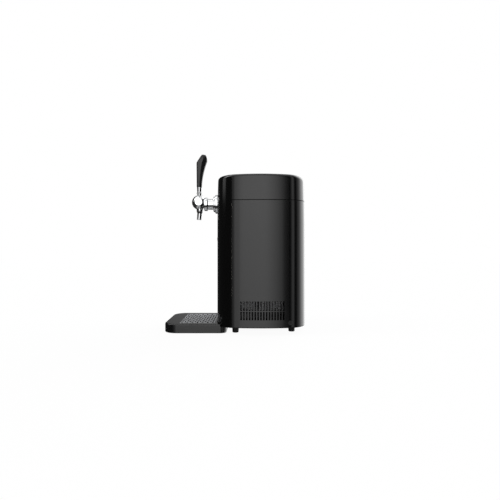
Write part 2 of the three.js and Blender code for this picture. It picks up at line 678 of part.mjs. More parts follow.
function faucetShank() {
  const { bore, front, sleeveRadius, sleeveBack, radius, tail } = SHANK;
  const profile = [
    [bore, front], [sleeveRadius, front], [sleeveRadius, sleeveBack], [radius, sleeveBack], [radius, tail],
    [bore, tail], [bore, front],
  ];
  return turned('y', profile, [0, TAP.z]);
}

function shankNut() {
  return rod('y', NUT.radius, NUT.front, NUT.back, [0, TAP.z], 6)
    .subtract(rod('y', SHANK.radius + GAP, NUT.front - PAST, NUT.back + PAST, [0, TAP.z]));
}

function faucetCollar() {
  const { front, back, radius, chamfer } = COLLAR;
  const bore = BALL.neckRadius + GAP;
  const profile = [
    [bore, front], [radius - chamfer, front], [radius, front + chamfer], [radius, back],
    [bore, back], [bore, front],
  ];
  return turned('y', profile, [0, TAP.z]);
}

/** Outline, from the pivot, of the room the stem sweeps between upright and pulled fully forward. */
function stemRoom() {
  const half = LEVER.stemRadius + GAP;
  const reach = BALL.radius + PAST;
  const [s, c] = [Math.sin(LEVER.travel), Math.cos(LEVER.travel)];
  const room = new THREE.Shape();
  room.moveTo(half, 0);
  room.lineTo(half, reach);
  room.lineTo(-reach * s, reach * c + half);
  room.lineTo(-reach * s - half * c, reach * c - half * s);
  room.lineTo(-half * c, -half * s);
  room.closePath();
  return sideProfile(room, LEVER.stemRadius + GAP).translate([0, BALL.y, BALL.z]);
}

/** Ball-shaped tap body with its neck, the slot the lever works in and the passage down to the spout. */
function faucetBody() {
  const { y, z, radius, flat, neckRadius, neckBack, waterway, hollow } = BALL;
  const ball = solidOf(new THREE.SphereGeometry(radius, ROUND_SIDES, 16).translate(0, y, z))
    .intersect(block(mirrored(flat), [y - radius, y + radius], [z - radius, z + radius]));
  const neck = rod('y', neckRadius, y, neckBack, [0, TAP.z]);
  const boss = rod('z', SPOUT.bossRadius, SPOUT.bossBottom, z, [0, SPOUT.y]);
  return joined([ball, neck, boss])
    .subtract(rod('y', COLLAR.radius + GAP, COLLAR.front - GAP, neckBack + PAST, [0, TAP.z])
      .subtract(rod('y', neckRadius, y, neckBack + 2 * PAST, [0, TAP.z])))
    .subtract(stemRoom())
    .subtract(rod('x', hollow, -LEVER.halfWidth - GAP, LEVER.halfWidth + GAP, [y, z]))
    .subtract(rod('y', waterway, y, neckBack + PAST, [0, TAP.z], SMALL_SIDES))
    .subtract(rod('z', SPOUT.bore, SPOUT.bossBottom - PAST, z, [0, SPOUT.y], SMALL_SIDES))
    .subtract(rod('z', SPOUT.radius + GAP, SPOUT.bossBottom - PAST, SPOUT.top + GAP, [0, SPOUT.y]))
    .subtract(rod('x', PIN.radius + PIN.clearance, -radius, radius, [y, z], SMALL_SIDES));
}

function leverPin() {
  return rod('x', PIN.radius, -BALL.flat, BALL.flat, [BALL.y, BALL.z], SMALL_SIDES);
}

/** Spout tube: straight inside the body, leaning slightly forward below it. */
function faucetSpout() {
  return spoutRod(SPOUT.radius, 0).subtract(spoutRod(SPOUT.bore, PAST));
}

/** Solid along the spout's bent axis, running on by `past` at both ends. */
function spoutRod(radius, past) {
  const bend = SPOUT.bossBottom - 2 * GAP;
  const length = bend - SPOUT.bottom + past;
  const leaning = new THREE.CylinderGeometry(radius, radius, length, ROUND_SIDES)
    .rotateX(Math.PI / 2)
    .translate(0, 0, -length / 2)
    .rotateX(-SPOUT.lean);
  const upright = rod('z', radius, bend - 1, SPOUT.top + past, [0, SPOUT.y]);
  return solidOf(leaning.translate(0, SPOUT.y, bend)).add(upright);
}

/** Lever: pivot hub, upright stem with a threaded end, and the finger that moves the plunger. */
function tapLever() {
  const { hubRadius, halfWidth, stemRadius, stemTop, threadRadius, threadTop } = LEVER;
  const hub = rod('x', hubRadius, ...mirrored(halfWidth), [BALL.y, BALL.z]);
  const stem = rod('z', stemRadius, BALL.z, stemTop, [0, BALL.y]);
  const thread = rod('z', threadRadius, stemTop - GAP, threadTop, [0, BALL.y], SMALL_SIDES);
  const bore = rod('x', PIN.radius + PIN.clearance, ...mirrored(BALL.radius), [BALL.y, BALL.z], SMALL_SIDES);
  return joined([hub, stem, thread, ...leverFinger()]).subtract(bore);
}

/** Short arm below the pivot with a round tip that pushes the plunger. */
function leverFinger() {
  const tipZ = BALL.z - LEVER.drop;
  const width = mirrored(LEVER.fingerHalf);
  const arm = block(width, around(BALL.y, LEVER.fingerRadius), [tipZ, BALL.z]);
  const tip = rod('x', LEVER.fingerRadius, ...width, [BALL.y, tipZ], SMALL_SIDES);
  return [arm, tip];
}

function tapFerrule() {
  return rod('z', FERRULE.radius, FERRULE.bottom, FERRULE.top, [0, BALL.y])
    .subtract(rod('z', LEVER.stemRadius + GAP, FERRULE.bottom - PAST, FERRULE.top + PAST, [0, BALL.y]));
}

/** Paddle handle: straight front, back edge flaring out, and a short flat top reached by a slant. */
function tapHandle() {
  const outline = new THREE.Shape();
  outline.moveTo(HANDLE.front, HANDLE.bottom);
  outline.lineTo(HANDLE.baseBack, HANDLE.bottom);
  outline.quadraticCurveTo(HANDLE.waistY, HANDLE.waistZ, HANDLE.bulgeBack, HANDLE.bulgeZ);
  outline.quadraticCurveTo(HANDLE.bulgeBack, HANDLE.top - HANDLE.edge, HANDLE.peakBack, HANDLE.top);
  outline.lineTo(HANDLE.peakFront, HANDLE.top);
  outline.lineTo(HANDLE.front, HANDLE.shoulderZ);
  outline.closePath();
  const radius = LEVER.threadRadius + GAP;
  const bore = rod('z', radius, HANDLE.bottom - PAST, LEVER.threadTop + GAP, [0, BALL.y], SMALL_SIDES);
  return sideProfile(outline, HANDLE.halfWidth, HANDLE.edge).subtract(bore);
}

function plungerFront() {
  return BALL.y + LEVER.fingerRadius + GAP;
}

function valvePlunger() {
  return rod('y', PLUNGER.radius, plungerFront(), PLUNGER.back, [0, TAP.z], SMALL_SIDES);
}

function valveSeal() {
  return rod('y', PLUNGER.sealRadius, PLUNGER.back + GAP, PLUNGER.sealBack, [0, TAP.z]);
}

// ---------------------------------------------------------------- keg fittings

function kegCoupler() {
  const { bottom, skirtRadius, skirtTop, radius, top, outletZ, outletRadius, outletReach } = KEG_HEAD;
  const profile = [
    [0, bottom], [skirtRadius, bottom], [skirtRadius, skirtTop], [radius, skirtTop], [radius, top], [0, top],
  ];
  const body = turned('z', profile, [0, CAVITY.y]);
  return body.add(rod('y', outletRadius, CAVITY.y - outletReach, CAVITY.y, [0, outletZ], SMALL_SIDES));
}

function gasRegulator() {
  const { z, bodyFrom, bodyTo, bodyRadius, legX, legRadius, inletZ } = GAS;
  return joined([
    rod('x', bodyRadius, bodyFrom, bodyTo, [CAVITY.y, z]),
    rod('z', legRadius, inletZ - legRadius, z, [legX, CAVITY.y], SMALL_SIDES),
    rod('x', legRadius, legX, -KEG_HEAD.radius - GAP, [CAVITY.y, inletZ], SMALL_SIDES),
  ]);
}

function regulatorKnob() {
  const { knobEnd, knobRadius, knobChamfer, bodyFrom } = GAS;
  const back = bodyFrom - GAP;
  const rim = [[knobRadius - knobChamfer, knobEnd], [knobRadius, knobEnd + knobChamfer]];
  return turned('x', [[0, knobEnd], ...rim, [knobRadius, back], [0, back]], [CAVITY.y, GAS.z]);
}

function gasCartridge() {
  const { from, to, radius, neck } = CARTRIDGE;
  const shoulders = [[radius / 3, from], [radius, from + neck], [radius, to - neck], [radius / 2, to]];
  const profile = [[0, from], ...shoulders, [0, to]];
  return turned('x', profile, [CAVITY.y, GAS.z]);
}

/** Beer line: from the coupler's outlet forward over the deck and down to the tail of the shank. */
function beerLine() {
  const start = CAVITY.y - KEG_HEAD.outletReach - GAP;
  const points = [
    [start, KEG_HEAD.outletZ],
    [start - BEER_LINE.run, KEG_HEAD.outletZ],
    [CABINET.fasciaBack - CABINET.wall, BEER_LINE.levelZ],
    [SHANK.tail + BEER_LINE.drop, TAP.z + BEER_LINE.rise],
    [SHANK.tail + GAP, TAP.z],
  ];
  return hose(points.map(([y, z]) => [0, y, z]), BEER_LINE.radius, ROUND_SIDES);
}

// ---------------------------------------------------------------- drip tray

/** Plan of the tray, well rounded in front, moved in by `inset`. */
function trayPlan(inset) {
  const { halfWidth, front, back, frontCorner, backCorner } = TRAY;
  const [near, far] = [frontCorner - inset, backCorner - inset];
  const [nearX, nearY] = [halfWidth - frontCorner, front + frontCorner];
  const [farX, farY] = [halfWidth - backCorner, back - backCorner];
  const plan = new THREE.Shape();
  plan.absarc(nearX, nearY, near, -Math.PI / 2, 0, false);
  plan.absarc(farX, farY, far, 0, Math.PI / 2, false);
  plan.absarc(-farX, farY, far, Math.PI / 2, Math.PI, false);
  plan.absarc(-nearX, nearY, near, Math.PI, 1.5 * Math.PI, false);
  return plan;
}

/** The tray as one lump, lowered by `inset` and cut back where the cabinet stands over it. */
function trayLump(inset, bottom) {
  const under = prism(cabinetPlan(-TRAY.bodyGap - inset), TRAY.tongueTop - inset, CABINET.top);
  return prism(trayPlan(inset), bottom, TRAY.top - inset).subtract(under);
}

function trayWell(shrink, bottom, top) {
  const depths = [TRAY.wellFront + shrink, TRAY.wellBack - shrink];
  return block(mirrored(TRAY.wellHalf - shrink), depths, [bottom, top]);
}

/** Tray: a hollow skirt with a smooth front deck and a deep well, ledged for the grid. */
function dripTray() {
  const { wall, ledge, ledgeZ, top } = TRAY;
  return trayLump(0, 0)
    .subtract(trayLump(wall, -PAST))
    .add(trayWell(-wall, 0, ledgeZ))
    .subtract(trayWell(ledge, wall, top + PAST))
    .subtract(trayWell(0, ledgeZ, top + PAST));
}

/** Grid: a plate with rows of slots, every other row shifted by half a slot pitch. */
function dripGrid() {
  const bottom = TRAY.ledgeZ + GAP;
  const middleY = (TRAY.wellFront + TRAY.wellBack) / 2;
  const slots = [];
  for (let row = 0; row < GRID.rows; row += 1) {
    const count = GRID.columns - row % 2;
    const depths = around(middleY + (row - (GRID.rows - 1) / 2) * GRID.pitchY, GRID.slotWidth / 2);
    for (let column = 0; column < count; column += 1) {
      const x = (column - (count - 1) / 2) * GRID.pitchX;
      slots.push(block(around(x, GRID.slotLength / 2), depths, [bottom - PAST, TRAY.top + PAST]));
    }
  }
  return trayWell(GAP, bottom, bottom + GRID.thickness).subtract(joined(slots));
}

// ---------------------------------------------------------------- materials

function finish(color, roughness, metalness) {
  return () => new THREE.MeshStandardMaterial({ color, roughness, metalness });
}

const satinBlack = finish(0x161718, 0.38, 0.1);
const pianoBlack = finish(0x0b0b0c, 0.12, 0);
const mattBlack = finish(0x1d1e1f, 0.6, 0);
const rubber = finish(0x141414, 0.9, 0);
const chrome = finish(0xd5d7d9, 0.12, 1);
const steel = finish(0xa9adb1, 0.35, 1);
const aluminium = finish(0xb9bcc0, 0.45, 1);
const foam = finish(0xe6e2d3, 0.95, 0);
const darkGlass = finish(0x1a2026, 0.08, 0);
const boardGreen = finish(0x1f5a38, 0.6, 0);
const ceramic = finish(0xeeeeea, 0.7, 0);
const clearHose = finish(0xdfe3e0, 0.35, 0);
const brass = finish(0xb7903f, 0.35, 1);

// ---------------------------------------------------------------- assembly

/** Makes a group holding one named mesh per piece. */
function assembly(name, pieces) {
  const group = new THREE.Group();
  group.name = name;
  for (const [pieceName, solid, material] of pieces) {
    const mesh = new THREE.Mesh(geometryOf(solid), material());
    mesh.name = pieceName;
    group.add(mesh);
  }
  return group;
}

const casing = assembly('casing', [
  ['base_pan', basePan(), mattBlack],
  ['side_shell', sideShell(), satinBlack],
  ['front_fascia', frontFascia(), pianoBlack],
  ['side_plug_left', sidePlug(-1), mattBlack],
  ['side_plug_right', sidePlug(1), mattBlack],
  ['foot_front_left', foot(-FOOT.frontX, FOOT.frontY), rubber],
  ['foot_front_right', foot(FOOT.frontX, FOOT.frontY), rubber],
  ['foot_rear_left', foot(-FOOT.rearX, FOOT.rearY), rubber],
  ['foot_rear_right', foot(FOOT.rearX, FOOT.rearY), rubber],
]);

const coldSide = assembly('cold_side', [
  ['cavity_liner', cavityLiner(), aluminium],
  ['cavity_foam', cavityFoam(), foam],
  ['top_deck', topDeck(), satinBlack],
  ['deck_gasket', deckGasket(), rubber],
  ['cold_plate', coldPlate(), aluminium],
  ['peltier_module', peltierModule(), ceramic],
  ['heat_sink', heatSink(), aluminium],
  ['fan_frame', fanFrame(), mattBlack],
  ['fan_rotor', fanRotor(), mattBlack],
]);

const lid = assembly('lid', [
  ['lid_shell', lidShell(), satinBlack],
  ['lid_liner', lidLiner(), mattBlack],
  ['lid_foam', lidFoam(), foam],
  ['hinge_leaf_lid', hingeLeafLid(), steel],
  ['hinge_screw_lid_left', leafScrew(-SCREW.x, SCREW.lidZ, LID_LEAF_FACE), steel],
  ['hinge_screw_lid_right', leafScrew(SCREW.x, SCREW.lidZ, LID_LEAF_FACE), steel],
]);

const hinge = assembly('hinge', [
  ['hinge_leaf_base', hingeLeafBase(), steel],
  ['hinge_pin', hingePin(), steel],
  ['hinge_screw_base_left', leafScrew(-SCREW.x, SCREW.baseZ, LEAF_FACE), steel],
  ['hinge_screw_base_right', leafScrew(SCREW.x, SCREW.baseZ, LEAF_FACE), steel],
]);

const controls = assembly('controls', [
  ['control_board', controlBoard(), boardGreen],
  ['display_window', displayWindow(), darkGlass],
  ['button_colder', button(-BUTTON.x), mattBlack],
  ['button_warmer', button(BUTTON.x), mattBlack],
  ['power_inlet', powerInlet(), mattBlack],
  ['switch_bezel', switchBezel(), mattBlack],
  ['power_rocker', powerRocker(), mattBlack],
  ['fan_lead', fanLead(), rubber],
  ['power_lead', powerLead(), rubber],
]);

const tap = assembly('tap', [
  ['faucet_flange', faucetFlange(), chrome],
  ['faucet_shank', faucetShank(), chrome],
  ['shank_nut', shankNut(), brass],
  ['faucet_collar', faucetCollar(), chrome],
  ['faucet_body', faucetBody(), chrome],
  ['lever_pin', leverPin(), chrome],
  ['faucet_spout', faucetSpout(), chrome],
  ['tap_lever', tapLever(), chrome],
  ['tap_ferrule', tapFerrule(), chrome],
  ['tap_handle', tapHandle(), satinBlack],
  ['valve_plunger', valvePlunger(), steel],
  ['valve_seal', valveSeal(), rubber],
]);

const kegFittings = assembly('keg_fittings', [
  ['keg_coupler', kegCoupler(), mattBlack],
  ['gas_regulator', gasRegulator(), brass],
  ['regulator_knob', regulatorKnob(), mattBlack],
  ['gas_cartridge', gasCartridge(), steel],
  ['beer_line', beerLine(), clearHose],
]);

const tray = assembly('tray', [
  ['drip_tray', dripTray(), mattBlack],
  ['drip_grid', dripGrid(), steel],
]);

const kegCooler = new THREE.Group();
kegCooler.name = 'keg_cooler';
kegCooler.position.y = -(TRAY.front + HINGE.y + HINGE.radius) / 2;
kegCooler.add(casing, coldSide, lid, hinge, controls, tap, kegFittings, tray);

export default kegCooler;
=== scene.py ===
"""Looks of a countertop keg cooler with its tap: shapes, finishes, light and camera.

Pieces are built in millimetres from the point on the worktop under the middle of the cabinet, with the
tap facing -Y and Z up. dress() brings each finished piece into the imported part's frame, in metres.
"""

import json
import math

import bmesh
import bpy
from mathutils import Matrix, Vector


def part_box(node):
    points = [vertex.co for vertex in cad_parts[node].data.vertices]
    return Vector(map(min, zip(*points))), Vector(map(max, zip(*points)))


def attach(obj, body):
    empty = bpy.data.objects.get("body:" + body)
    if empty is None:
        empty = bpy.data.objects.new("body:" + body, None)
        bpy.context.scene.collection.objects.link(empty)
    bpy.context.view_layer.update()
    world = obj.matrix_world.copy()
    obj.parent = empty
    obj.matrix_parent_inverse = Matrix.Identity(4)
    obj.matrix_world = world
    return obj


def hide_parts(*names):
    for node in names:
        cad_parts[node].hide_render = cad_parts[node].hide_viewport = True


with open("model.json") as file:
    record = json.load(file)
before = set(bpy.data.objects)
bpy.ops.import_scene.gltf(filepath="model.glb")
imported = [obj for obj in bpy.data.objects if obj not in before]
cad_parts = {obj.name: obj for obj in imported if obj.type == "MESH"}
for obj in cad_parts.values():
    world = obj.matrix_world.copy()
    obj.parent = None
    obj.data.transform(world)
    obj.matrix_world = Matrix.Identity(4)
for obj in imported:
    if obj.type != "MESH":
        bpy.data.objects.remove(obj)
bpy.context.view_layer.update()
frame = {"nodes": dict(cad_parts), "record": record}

MM = 0.001
GAP = 0.4  # clearance left between neighbouring pieces
PAST = 5  # how far a cutting tool reaches past the wall it cuts
FAR = 400  # beyond the object on every side

# ---------------------------------------------------------------- driving dimensions

HALF_WIDTH = 131
HALF_DEPTH = 130
CORNER = 60
SIDE_BOW = 4
FRONT_BOW = 3.5
WALL = 3
BODY_BOTTOM = 19.5
SIDE_TOP = 378
LID_BOTTOM = 380
LID_INSET = 0.7
BODY_TOP = 453.3
PART_LINE = -82  # Y of the joint between the front fascia and the side shell

TAPER_FROM = 300
TAPER = 2.2  # how far the walls lean in at the top
CROWN = 1.5  # how far the top has dropped at CROWN_AT from the middle
CROWN_AT = 85
EDGE = 10  # rounding of the top edge
REAR_EDGE = 17  # the same at the back of the lid
BOTTOM_ROLL = 2.5

CAVITY_Y = 18
CAVITY_RADIUS = 90
CAVITY_FLOOR = 112
CAVITY_WALL = 2
CAVITY_EDGE = 6
FLOOR_PLATE = 2.9
RIM_RADIUS = 100
DECK_BOTTOM = 372.9
DECK_TOP = 376
DECK_FRONT = -100
SEAL_OUTER = 3.8  # in from the lid's outside
SEAL_INNER = 8
DOME_RADIUS = 84
DOME_TOP = 432
DOME_EDGE = 6
LINER_WALL = 2
LINE_SLOT_HALF = 8
LINE_SLOT_TOP = 402

VENT_COUNT = 16
VENT_PITCH = 7.9
VENT_WIDTH = 5
VENT_MIDDLE = 3.5
VENT_ROWS = ((42.5, 66), (68.5, 95))
PLUG_Y = 82
PLUG_Z = 34
PLUG_FACE = 126.2
PLUG_RADIUS = 7.2
PLUG_DEPTH = 4

SINK_RUNS = ((-90, -31), (-30, 30), (31, 90))  # along X
SINK_YS = (-58, 79)
SINK_ZS = (66, 96)
SINK_BASE = 6
FIN_THICKNESS = 2
FIN_COUNT = 34

FOOT_HEIGHT = 19.1
FOOT_RADIUS = 10
FOOT_PLACES = {"front": (84, -73), "rear": (69, 91)}

DISPLAY_HALF = 24
DISPLAY_ZS = (290, 314)
BUTTON_Z = 272
BUTTON_X = 15
BUTTON_RADIUS = 6
BUTTON_RISE = 1.6
FRONT_INSIDE = -HALF_DEPTH + WALL + 2 * GAP  # clear of the bowed front wall
LID_FILL_FRONT = PART_LINE + WALL + 2 * GAP  # front of what lies inside the lid
POWER_ZS = (27, 39)
POWER_Y = 118
POWER_Z = sum(POWER_ZS) / 2
INLET_HALF = 13
INLET_BACK = HALF_DEPTH + 4
ROCKER_X = 38
BEZEL_HALF = 10
BEZEL_BACK = HALF_DEPTH + 1.5
ROCKER_REACH = 5  # from the rocker's pivot to the rims of its face
ROCKER_TIP = -6  # degrees

TAP_Z = 380
SHANK_HOLE = 11.4
SHANK_RADIUS = 11
SHANK_YS = (-162, -110)
SHANK_BORE = 5
SLEEVE_RADIUS = 16.5
THREAD_FROM = -142
THREAD_PITCH = 1.75
THREAD_TURNS = 16
THREAD_DEPTH = 0.8
FLANGE_YS = (-144, -130.5)
FLANGE_RADII = (24, 29)  # of its front step and of its back
NUT_YS = (-126.6, -118)
NUT_RADIUS = 18
COLLAR_YS = (-173, -162.4)
COLLAR_RADIUS = 20.5
BALL_Y = -189
BALL_Z = 386
BALL_RADIUS = 22.7
BALL_FLAT = 20.8
CHEEK_GROOVE = (8.6, 11)  # radii of the groove round the flat cheek
GROOVE_DEPTH = 2
HUB_RADIUS = 4
HUB_HALF = 5.8
HUB_ROOM = 9.2
BODY_BORE = 4.2
PIN_RADIUS = 2
PIN_BORE = 2.05
LEVER_BORE = 2.3
STEM_RADIUS = 6
STEM_SWING = 0.75  # radians, with a little to spare
SPOUT_Y = -187.4
SPOUT_BEND = 358.2
SPOUT_LEAN = 0.08
SPOUT_BOTTOM = 332
SPOUT_RADIUS = 7.1
SPOUT_BORE = 4.5
SPOUT_SEAT = 7.5
SPOUT_TOP = 366

HANDLE_BOTTOM = 433.4
HANDLE_TOP = 534
HANDLE_FRONT = -196.5
HANDLE_SHOULDER = 508
HANDLE_BASE_BACK = -181.3
HANDLE_WAIST = -180
HANDLE_BULGE = -164.6
HANDLE_BULGE_Z = 514
HANDLE_PEAK = (-181, -171)
HANDLE_FACET = 0.6  # how fast the rear half narrows
HANDLE_HALVES = (8.5, 14)  # half width at the bottom and at the bulge
HANDLE_BORE = 4.4
HANDLE_BORE_TOP = 455.4
FERRULE_BOTTOM = 412

HINGE_Y = 132.8
HINGE_RADIUS = 3
HINGE_HALF = 26
HINGE_LID_HALF = 9
HINGE_LEAF = 1.5
HINGE_BORE = 1.6
HINGE_PIN = 1.3
LEAF_ZS = (350, 374)
LID_LEAF_ZS = (382.8, 408)
SCREW_X = 18
SCREW_HOLE = 1.6
SCREW_BASE_Z = 361
SCREW_LID_Z = 397
SCREW_RADIUS = 1.3
SCREW_LENGTH = 5.2
SCREW_HEAD = 2.6
BASE_LEAF_FACE = HALF_DEPTH + GAP
LID_LEAF_FACE = BASE_LEAF_FACE - 1  # the lid's wall leans in

TRAY_FRONT = -281
TRAY_BACK = -99
TRAY_TOP = 26
TRAY_WALL = 2.5
TRAY_HALF = 101
TRAY_CORNERS = (39, 19)  # radius in front and at the back
TRAY_EDGE = 4
TONGUE_TOP = 18.7
WELL_FRONT = -237
WELL_BACK = -134
WELL_HALF = 84
LEDGE = 3
LEDGE_Z = 22.6
GRID_THICKNESS = 2.4
SLOT_WIDTH = 4.2
SLOT_LENGTH = 21
SLOT_PITCH_X = 27
SLOT_PITCH_Y = 7.6
SLOT_COLUMNS = 6
SLOT_ROWS = 13

COUPLER_ZS = (372, 398)
COUPLER_RADIUS = 20
OUTLET_Z = 392
GAS_Z = 414
REGULATOR_XS = (-62, -30)
REGULATOR_RADIUS = 13
LEG_X = -46
LEG_Z = 389
LEG_RADIUS = 5
KNOB_END = -78
KNOB_RADIUS = 10
BOTTLE_RADIUS = 11
BOTTLE_XS = (-29.6, 46)
LINE_RADIUS = 4

# ---------------------------------------------------------------- mesh helpers

RIGHT_ANGLE = math.pi / 2


def both(value):
    return (-value, value)


def around(middle, half):
    return (middle - half, middle + half)


def even_steps(start, end, steps):
    return [start + (end - start) * step / steps for step in range(steps + 1)]


def sines(*degrees):
    return tuple(math.sin(math.radians(angle)) for angle in degrees)


def add_object(name, bm, closed=True):
    """Turns a bmesh into an object of that name at the origin."""
    if closed:
        bmesh.ops.recalc_face_normals(bm, faces=bm.faces)
        if bm.calc_volume(signed=True) < 0:
            bmesh.ops.reverse_faces(bm, faces=bm.faces)
    mesh = bpy.data.meshes.new(name)
    bm.to_mesh(mesh)
    bm.free()
    made = bpy.data.objects.new(name, mesh)
    bpy.context.collection.objects.link(made)
    return made


def bake(obj):
    """Replaces the object's mesh by the result of its modifiers."""
    evaluated = obj.evaluated_get(bpy.context.evaluated_depsgraph_get())
    baked = bpy.data.meshes.new_from_object(evaluated)
    obj.modifiers.clear()
    obj.data = baked
    return obj


def cut(obj, *tools, keep="DIFFERENCE"):
    """Cuts closed tools out of the object, or joins or intersects them, and removes the tools."""
    for tool in tools:
        modifier = obj.modifiers.new("cut", "BOOLEAN")
        modifier.operation = keep
        modifier.solver = "EXACT"
        modifier.object = tool
        bake(obj)
        bpy.data.objects.remove(tool)
    return obj


def join(obj, *others):
    return cut(obj, *others, keep="UNION")


def soften(obj, width=0.6, segments=2, angle=32, flat_axis=None):
    """Rounds the sharp edges and shades the rest smooth, apart from the faces square to `flat_axis`."""
    if width > 0:
        modifier = obj.modifiers.new("soften", "BEVEL")
        modifier.width = width
        modifier.segments = segments
        modifier.limit_method = "ANGLE"
        modifier.angle_limit = math.radians(angle)
        modifier.use_clamp_overlap = True
        modifier.miter_outer = "MITER_ARC"
        bake(obj)
    obj.data.shade_smooth()
    obj.data.set_sharp_from_angle(angle=math.radians(angle))
    for polygon in obj.data.polygons if flat_axis is not None else ():
        polygon.use_smooth = abs(polygon.normal[flat_axis]) < 0.999
    weigh = obj.modifiers.new("weigh", "WEIGHTED_NORMAL")
    weigh.keep_sharp = True
    return bake(obj)


def stack_rings(bm, rings, close=True):
    """Joins rings of points, each with the same count, by quads, and closes both ends."""
    made = [[bm.verts.new(point) for point in ring] for ring in rings]
    for low, high in zip(made, made[1:]):
        for index in range(len(low)):
            after = (index + 1) % len(low)
            bm.faces.new((low[index], low[after], high[after], high[index]))
    if close:
        bm.faces.new(reversed(made[0]))
        bm.faces.new(made[-1])


def turn_to(axis, centre):
    """Matrix that lays a shape made around Z along the named axis, through the point given."""
    a, b = centre
    if axis == "x":
        return Matrix(((0, 0, 1, 0), (1, 0, 0, a), (0, 1, 0, b), (0, 0, 0, 1)))
    if axis == "y":
        return Matrix(((0, 1, 0, a), (0, 0, 1, 0), (1, 0, 0, b), (0, 0, 0, 1)))
    return Matrix.Translation((a, b, 0))


def circle(radius, sides):
    angles = [2 * math.pi * side / sides for side in range(sides)]
    return [(radius * math.cos(angle), radius * math.sin(angle)) for angle in angles]


def turned(name, profile, axis, centre, sides=96):
    """A turned piece. `profile` lists (radius, distance along the axis); a hollow one closes on itself."""
    bm = bmesh.new()
    hollow = profile[0] == profile[-1]
    rings = [[(u, v, along) for u, v in circle(radius, sides)] for radius, along in profile if radius > 0]
    stack_rings(bm, rings, close=not hollow)
    bmesh.ops.remove_doubles(bm, verts=bm.verts, dist=1e-4)
    bm.transform(turn_to(axis, centre))
    return add_object(name, bm)


def rod(name, axis, radius, start, end, centre, sides=64):
    return turned(name, [(radius, start), (radius, end)], axis, centre, sides)


def slab(name, xs, ys, zs):
    """A box given by its low and high coordinate on each axis."""
    bm = bmesh.new()
    bmesh.ops.create_cube(bm, size=1)
    size = Vector((xs[1] - xs[0], ys[1] - ys[0], zs[1] - zs[0], 1))
    middle = Vector((sum(xs), sum(ys), sum(zs))) / 2
    bm.transform(Matrix.Translation(middle) @ Matrix.Diagonal(size))
    return add_object(name, bm)


def arc(centre, radius, start, end, steps=6):
    """Points of an arc between two angles in degrees."""
    angles = [math.radians(degrees) for degrees in even_steps(start, end, steps)]
    return [(centre[0] + radius * math.cos(a), centre[1] + radius * math.sin(a)) for a in angles]


def round_rectangle(us, vs, radius):
    """Outline of a rectangle with rounded corners."""
    inside = ((us[1] - radius, vs[1] - radius, 0), (us[0] + radius, vs[1] - radius, 90),
              (us[0] + radius, vs[0] + radius, 180), (us[1] - radius, vs[0] + radius, 270))
    return [point for u, v, turn in inside for point in arc((u, v), radius, turn, turn + 90)]


def drawn_out(name, outline, axis, start, end):
    """A two-dimensional outline drawn out along an axis: (Y, Z) for x, (Z, X) for y, (X, Y) for z."""
    bm = bmesh.new()
    stack_rings(bm, [[(u, v, along) for u, v in outline] for along in (start, end)])
    bm.transform(turn_to(axis, (0, 0)))
    return add_object(name, bm)


def hose(name, points, radius, sides=20):
    """A round flexible piece along a smooth curve through the points."""
    curve = bpy.data.curves.new(name, "CURVE")
    curve.dimensions = "3D"
    curve.bevel_depth = radius
    curve.bevel_resolution = sides // 4
    curve.use_fill_caps = True
    spline = curve.splines.new("BEZIER")
    spline.bezier_points.add(len(points) - 1)
    for bend, point in zip(spline.bezier_points, points):
        bend.co = point
        bend.handle_left_type = bend.handle_right_type = "AUTO"
    made = bpy.data.objects.new(name, curve)
    bpy.context.collection.objects.link(made)
    evaluated = made.evaluated_get(bpy.context.evaluated_depsgraph_get())
    mesh = bpy.data.meshes.new_from_object(evaluated)
    bpy.data.objects.remove(made)
    solid = bpy.data.objects.new(name, mesh)
    bpy.context.collection.objects.link(solid)
    mesh.shade_smooth()
    return solid


# ---------------------------------------------------------------- materials

NOISE_SPAN = (0.3, 0.7)  # where nearly all of a noise texture's values lie


def wire(tree, node, inputs):
    """Sets a node's inputs to plain values, or links them to other nodes' outputs."""
    for socket, value in inputs.items():
        if isinstance(value, bpy.types.NodeSocket):
            tree.links.new(value, node.inputs[socket])
        else:
            node.inputs[socket].default_value = value


def add_node(tree, kind, inputs=None, **settings):
    made = tree.nodes.new(f"ShaderNode{kind}")
    for setting, value in settings.items():
        setattr(made, setting, value)
    wire(tree, made, inputs or {})
    return made


def new_material(name):
    made = bpy.data.materials.new(name)
    made.use_nodes = True
    return made, made.node_tree


def object_noise(tree, scale, detail=3.0, stretch=(1, 1, 1)):
    """Noise fixed to the object's own coordinates."""
    where = add_node(tree, "TexCoord").outputs["Object"]
    mapping = add_node(tree, "Mapping", {"Vector": where, "Scale": stretch}).outputs["Vector"]
    return add_node(tree, "TexNoise", {"Vector": mapping, "Scale": scale, "Detail": detail}).outputs["Fac"]


def spread(tree, value, source, target):
    """Maps a value from one range onto another."""
    ends = zip(("From Min", "From Max", "To Min", "To Max"), (*source, *target))
    return add_node(tree, "MapRange", {"Value": value, **dict(ends)}).outputs["Result"]


def mix_colour(tree, factor, first, second):
    """Blends two colours, each a triple or another node's output."""
    colours = [(*colour, 1) if isinstance(colour, tuple) else colour for colour in (first, second)]
    return add_node(tree, "Mix", {0: factor, 6: colours[0], 7: colours[1]}, data_type="RGBA").outputs[2]


def edge_mask(tree, radius):
    """Near 1 on worn edges and 0 on open surfaces."""
    rounded = add_node(tree, "Bevel", {"Radius": radius}, samples=4).outputs["Normal"]
    flat = add_node(tree, "NewGeometry").outputs["Normal"]
    dot = add_node(tree, "VectorMath", {0: rounded, 1: flat}, operation="DOT_PRODUCT")
    return spread(tree, dot.outputs["Value"], (1.0, 0.85), (0.0, 1.0))


def relief(tree, height, strength, distance):
    """Normals bent by a height."""
    inputs = {"Height": height, "Strength": strength, "Distance": distance}
    return add_node(tree, "Bump", inputs).outputs["Normal"]


def shade(colour, share):
    return tuple(channel * share for channel in colour)


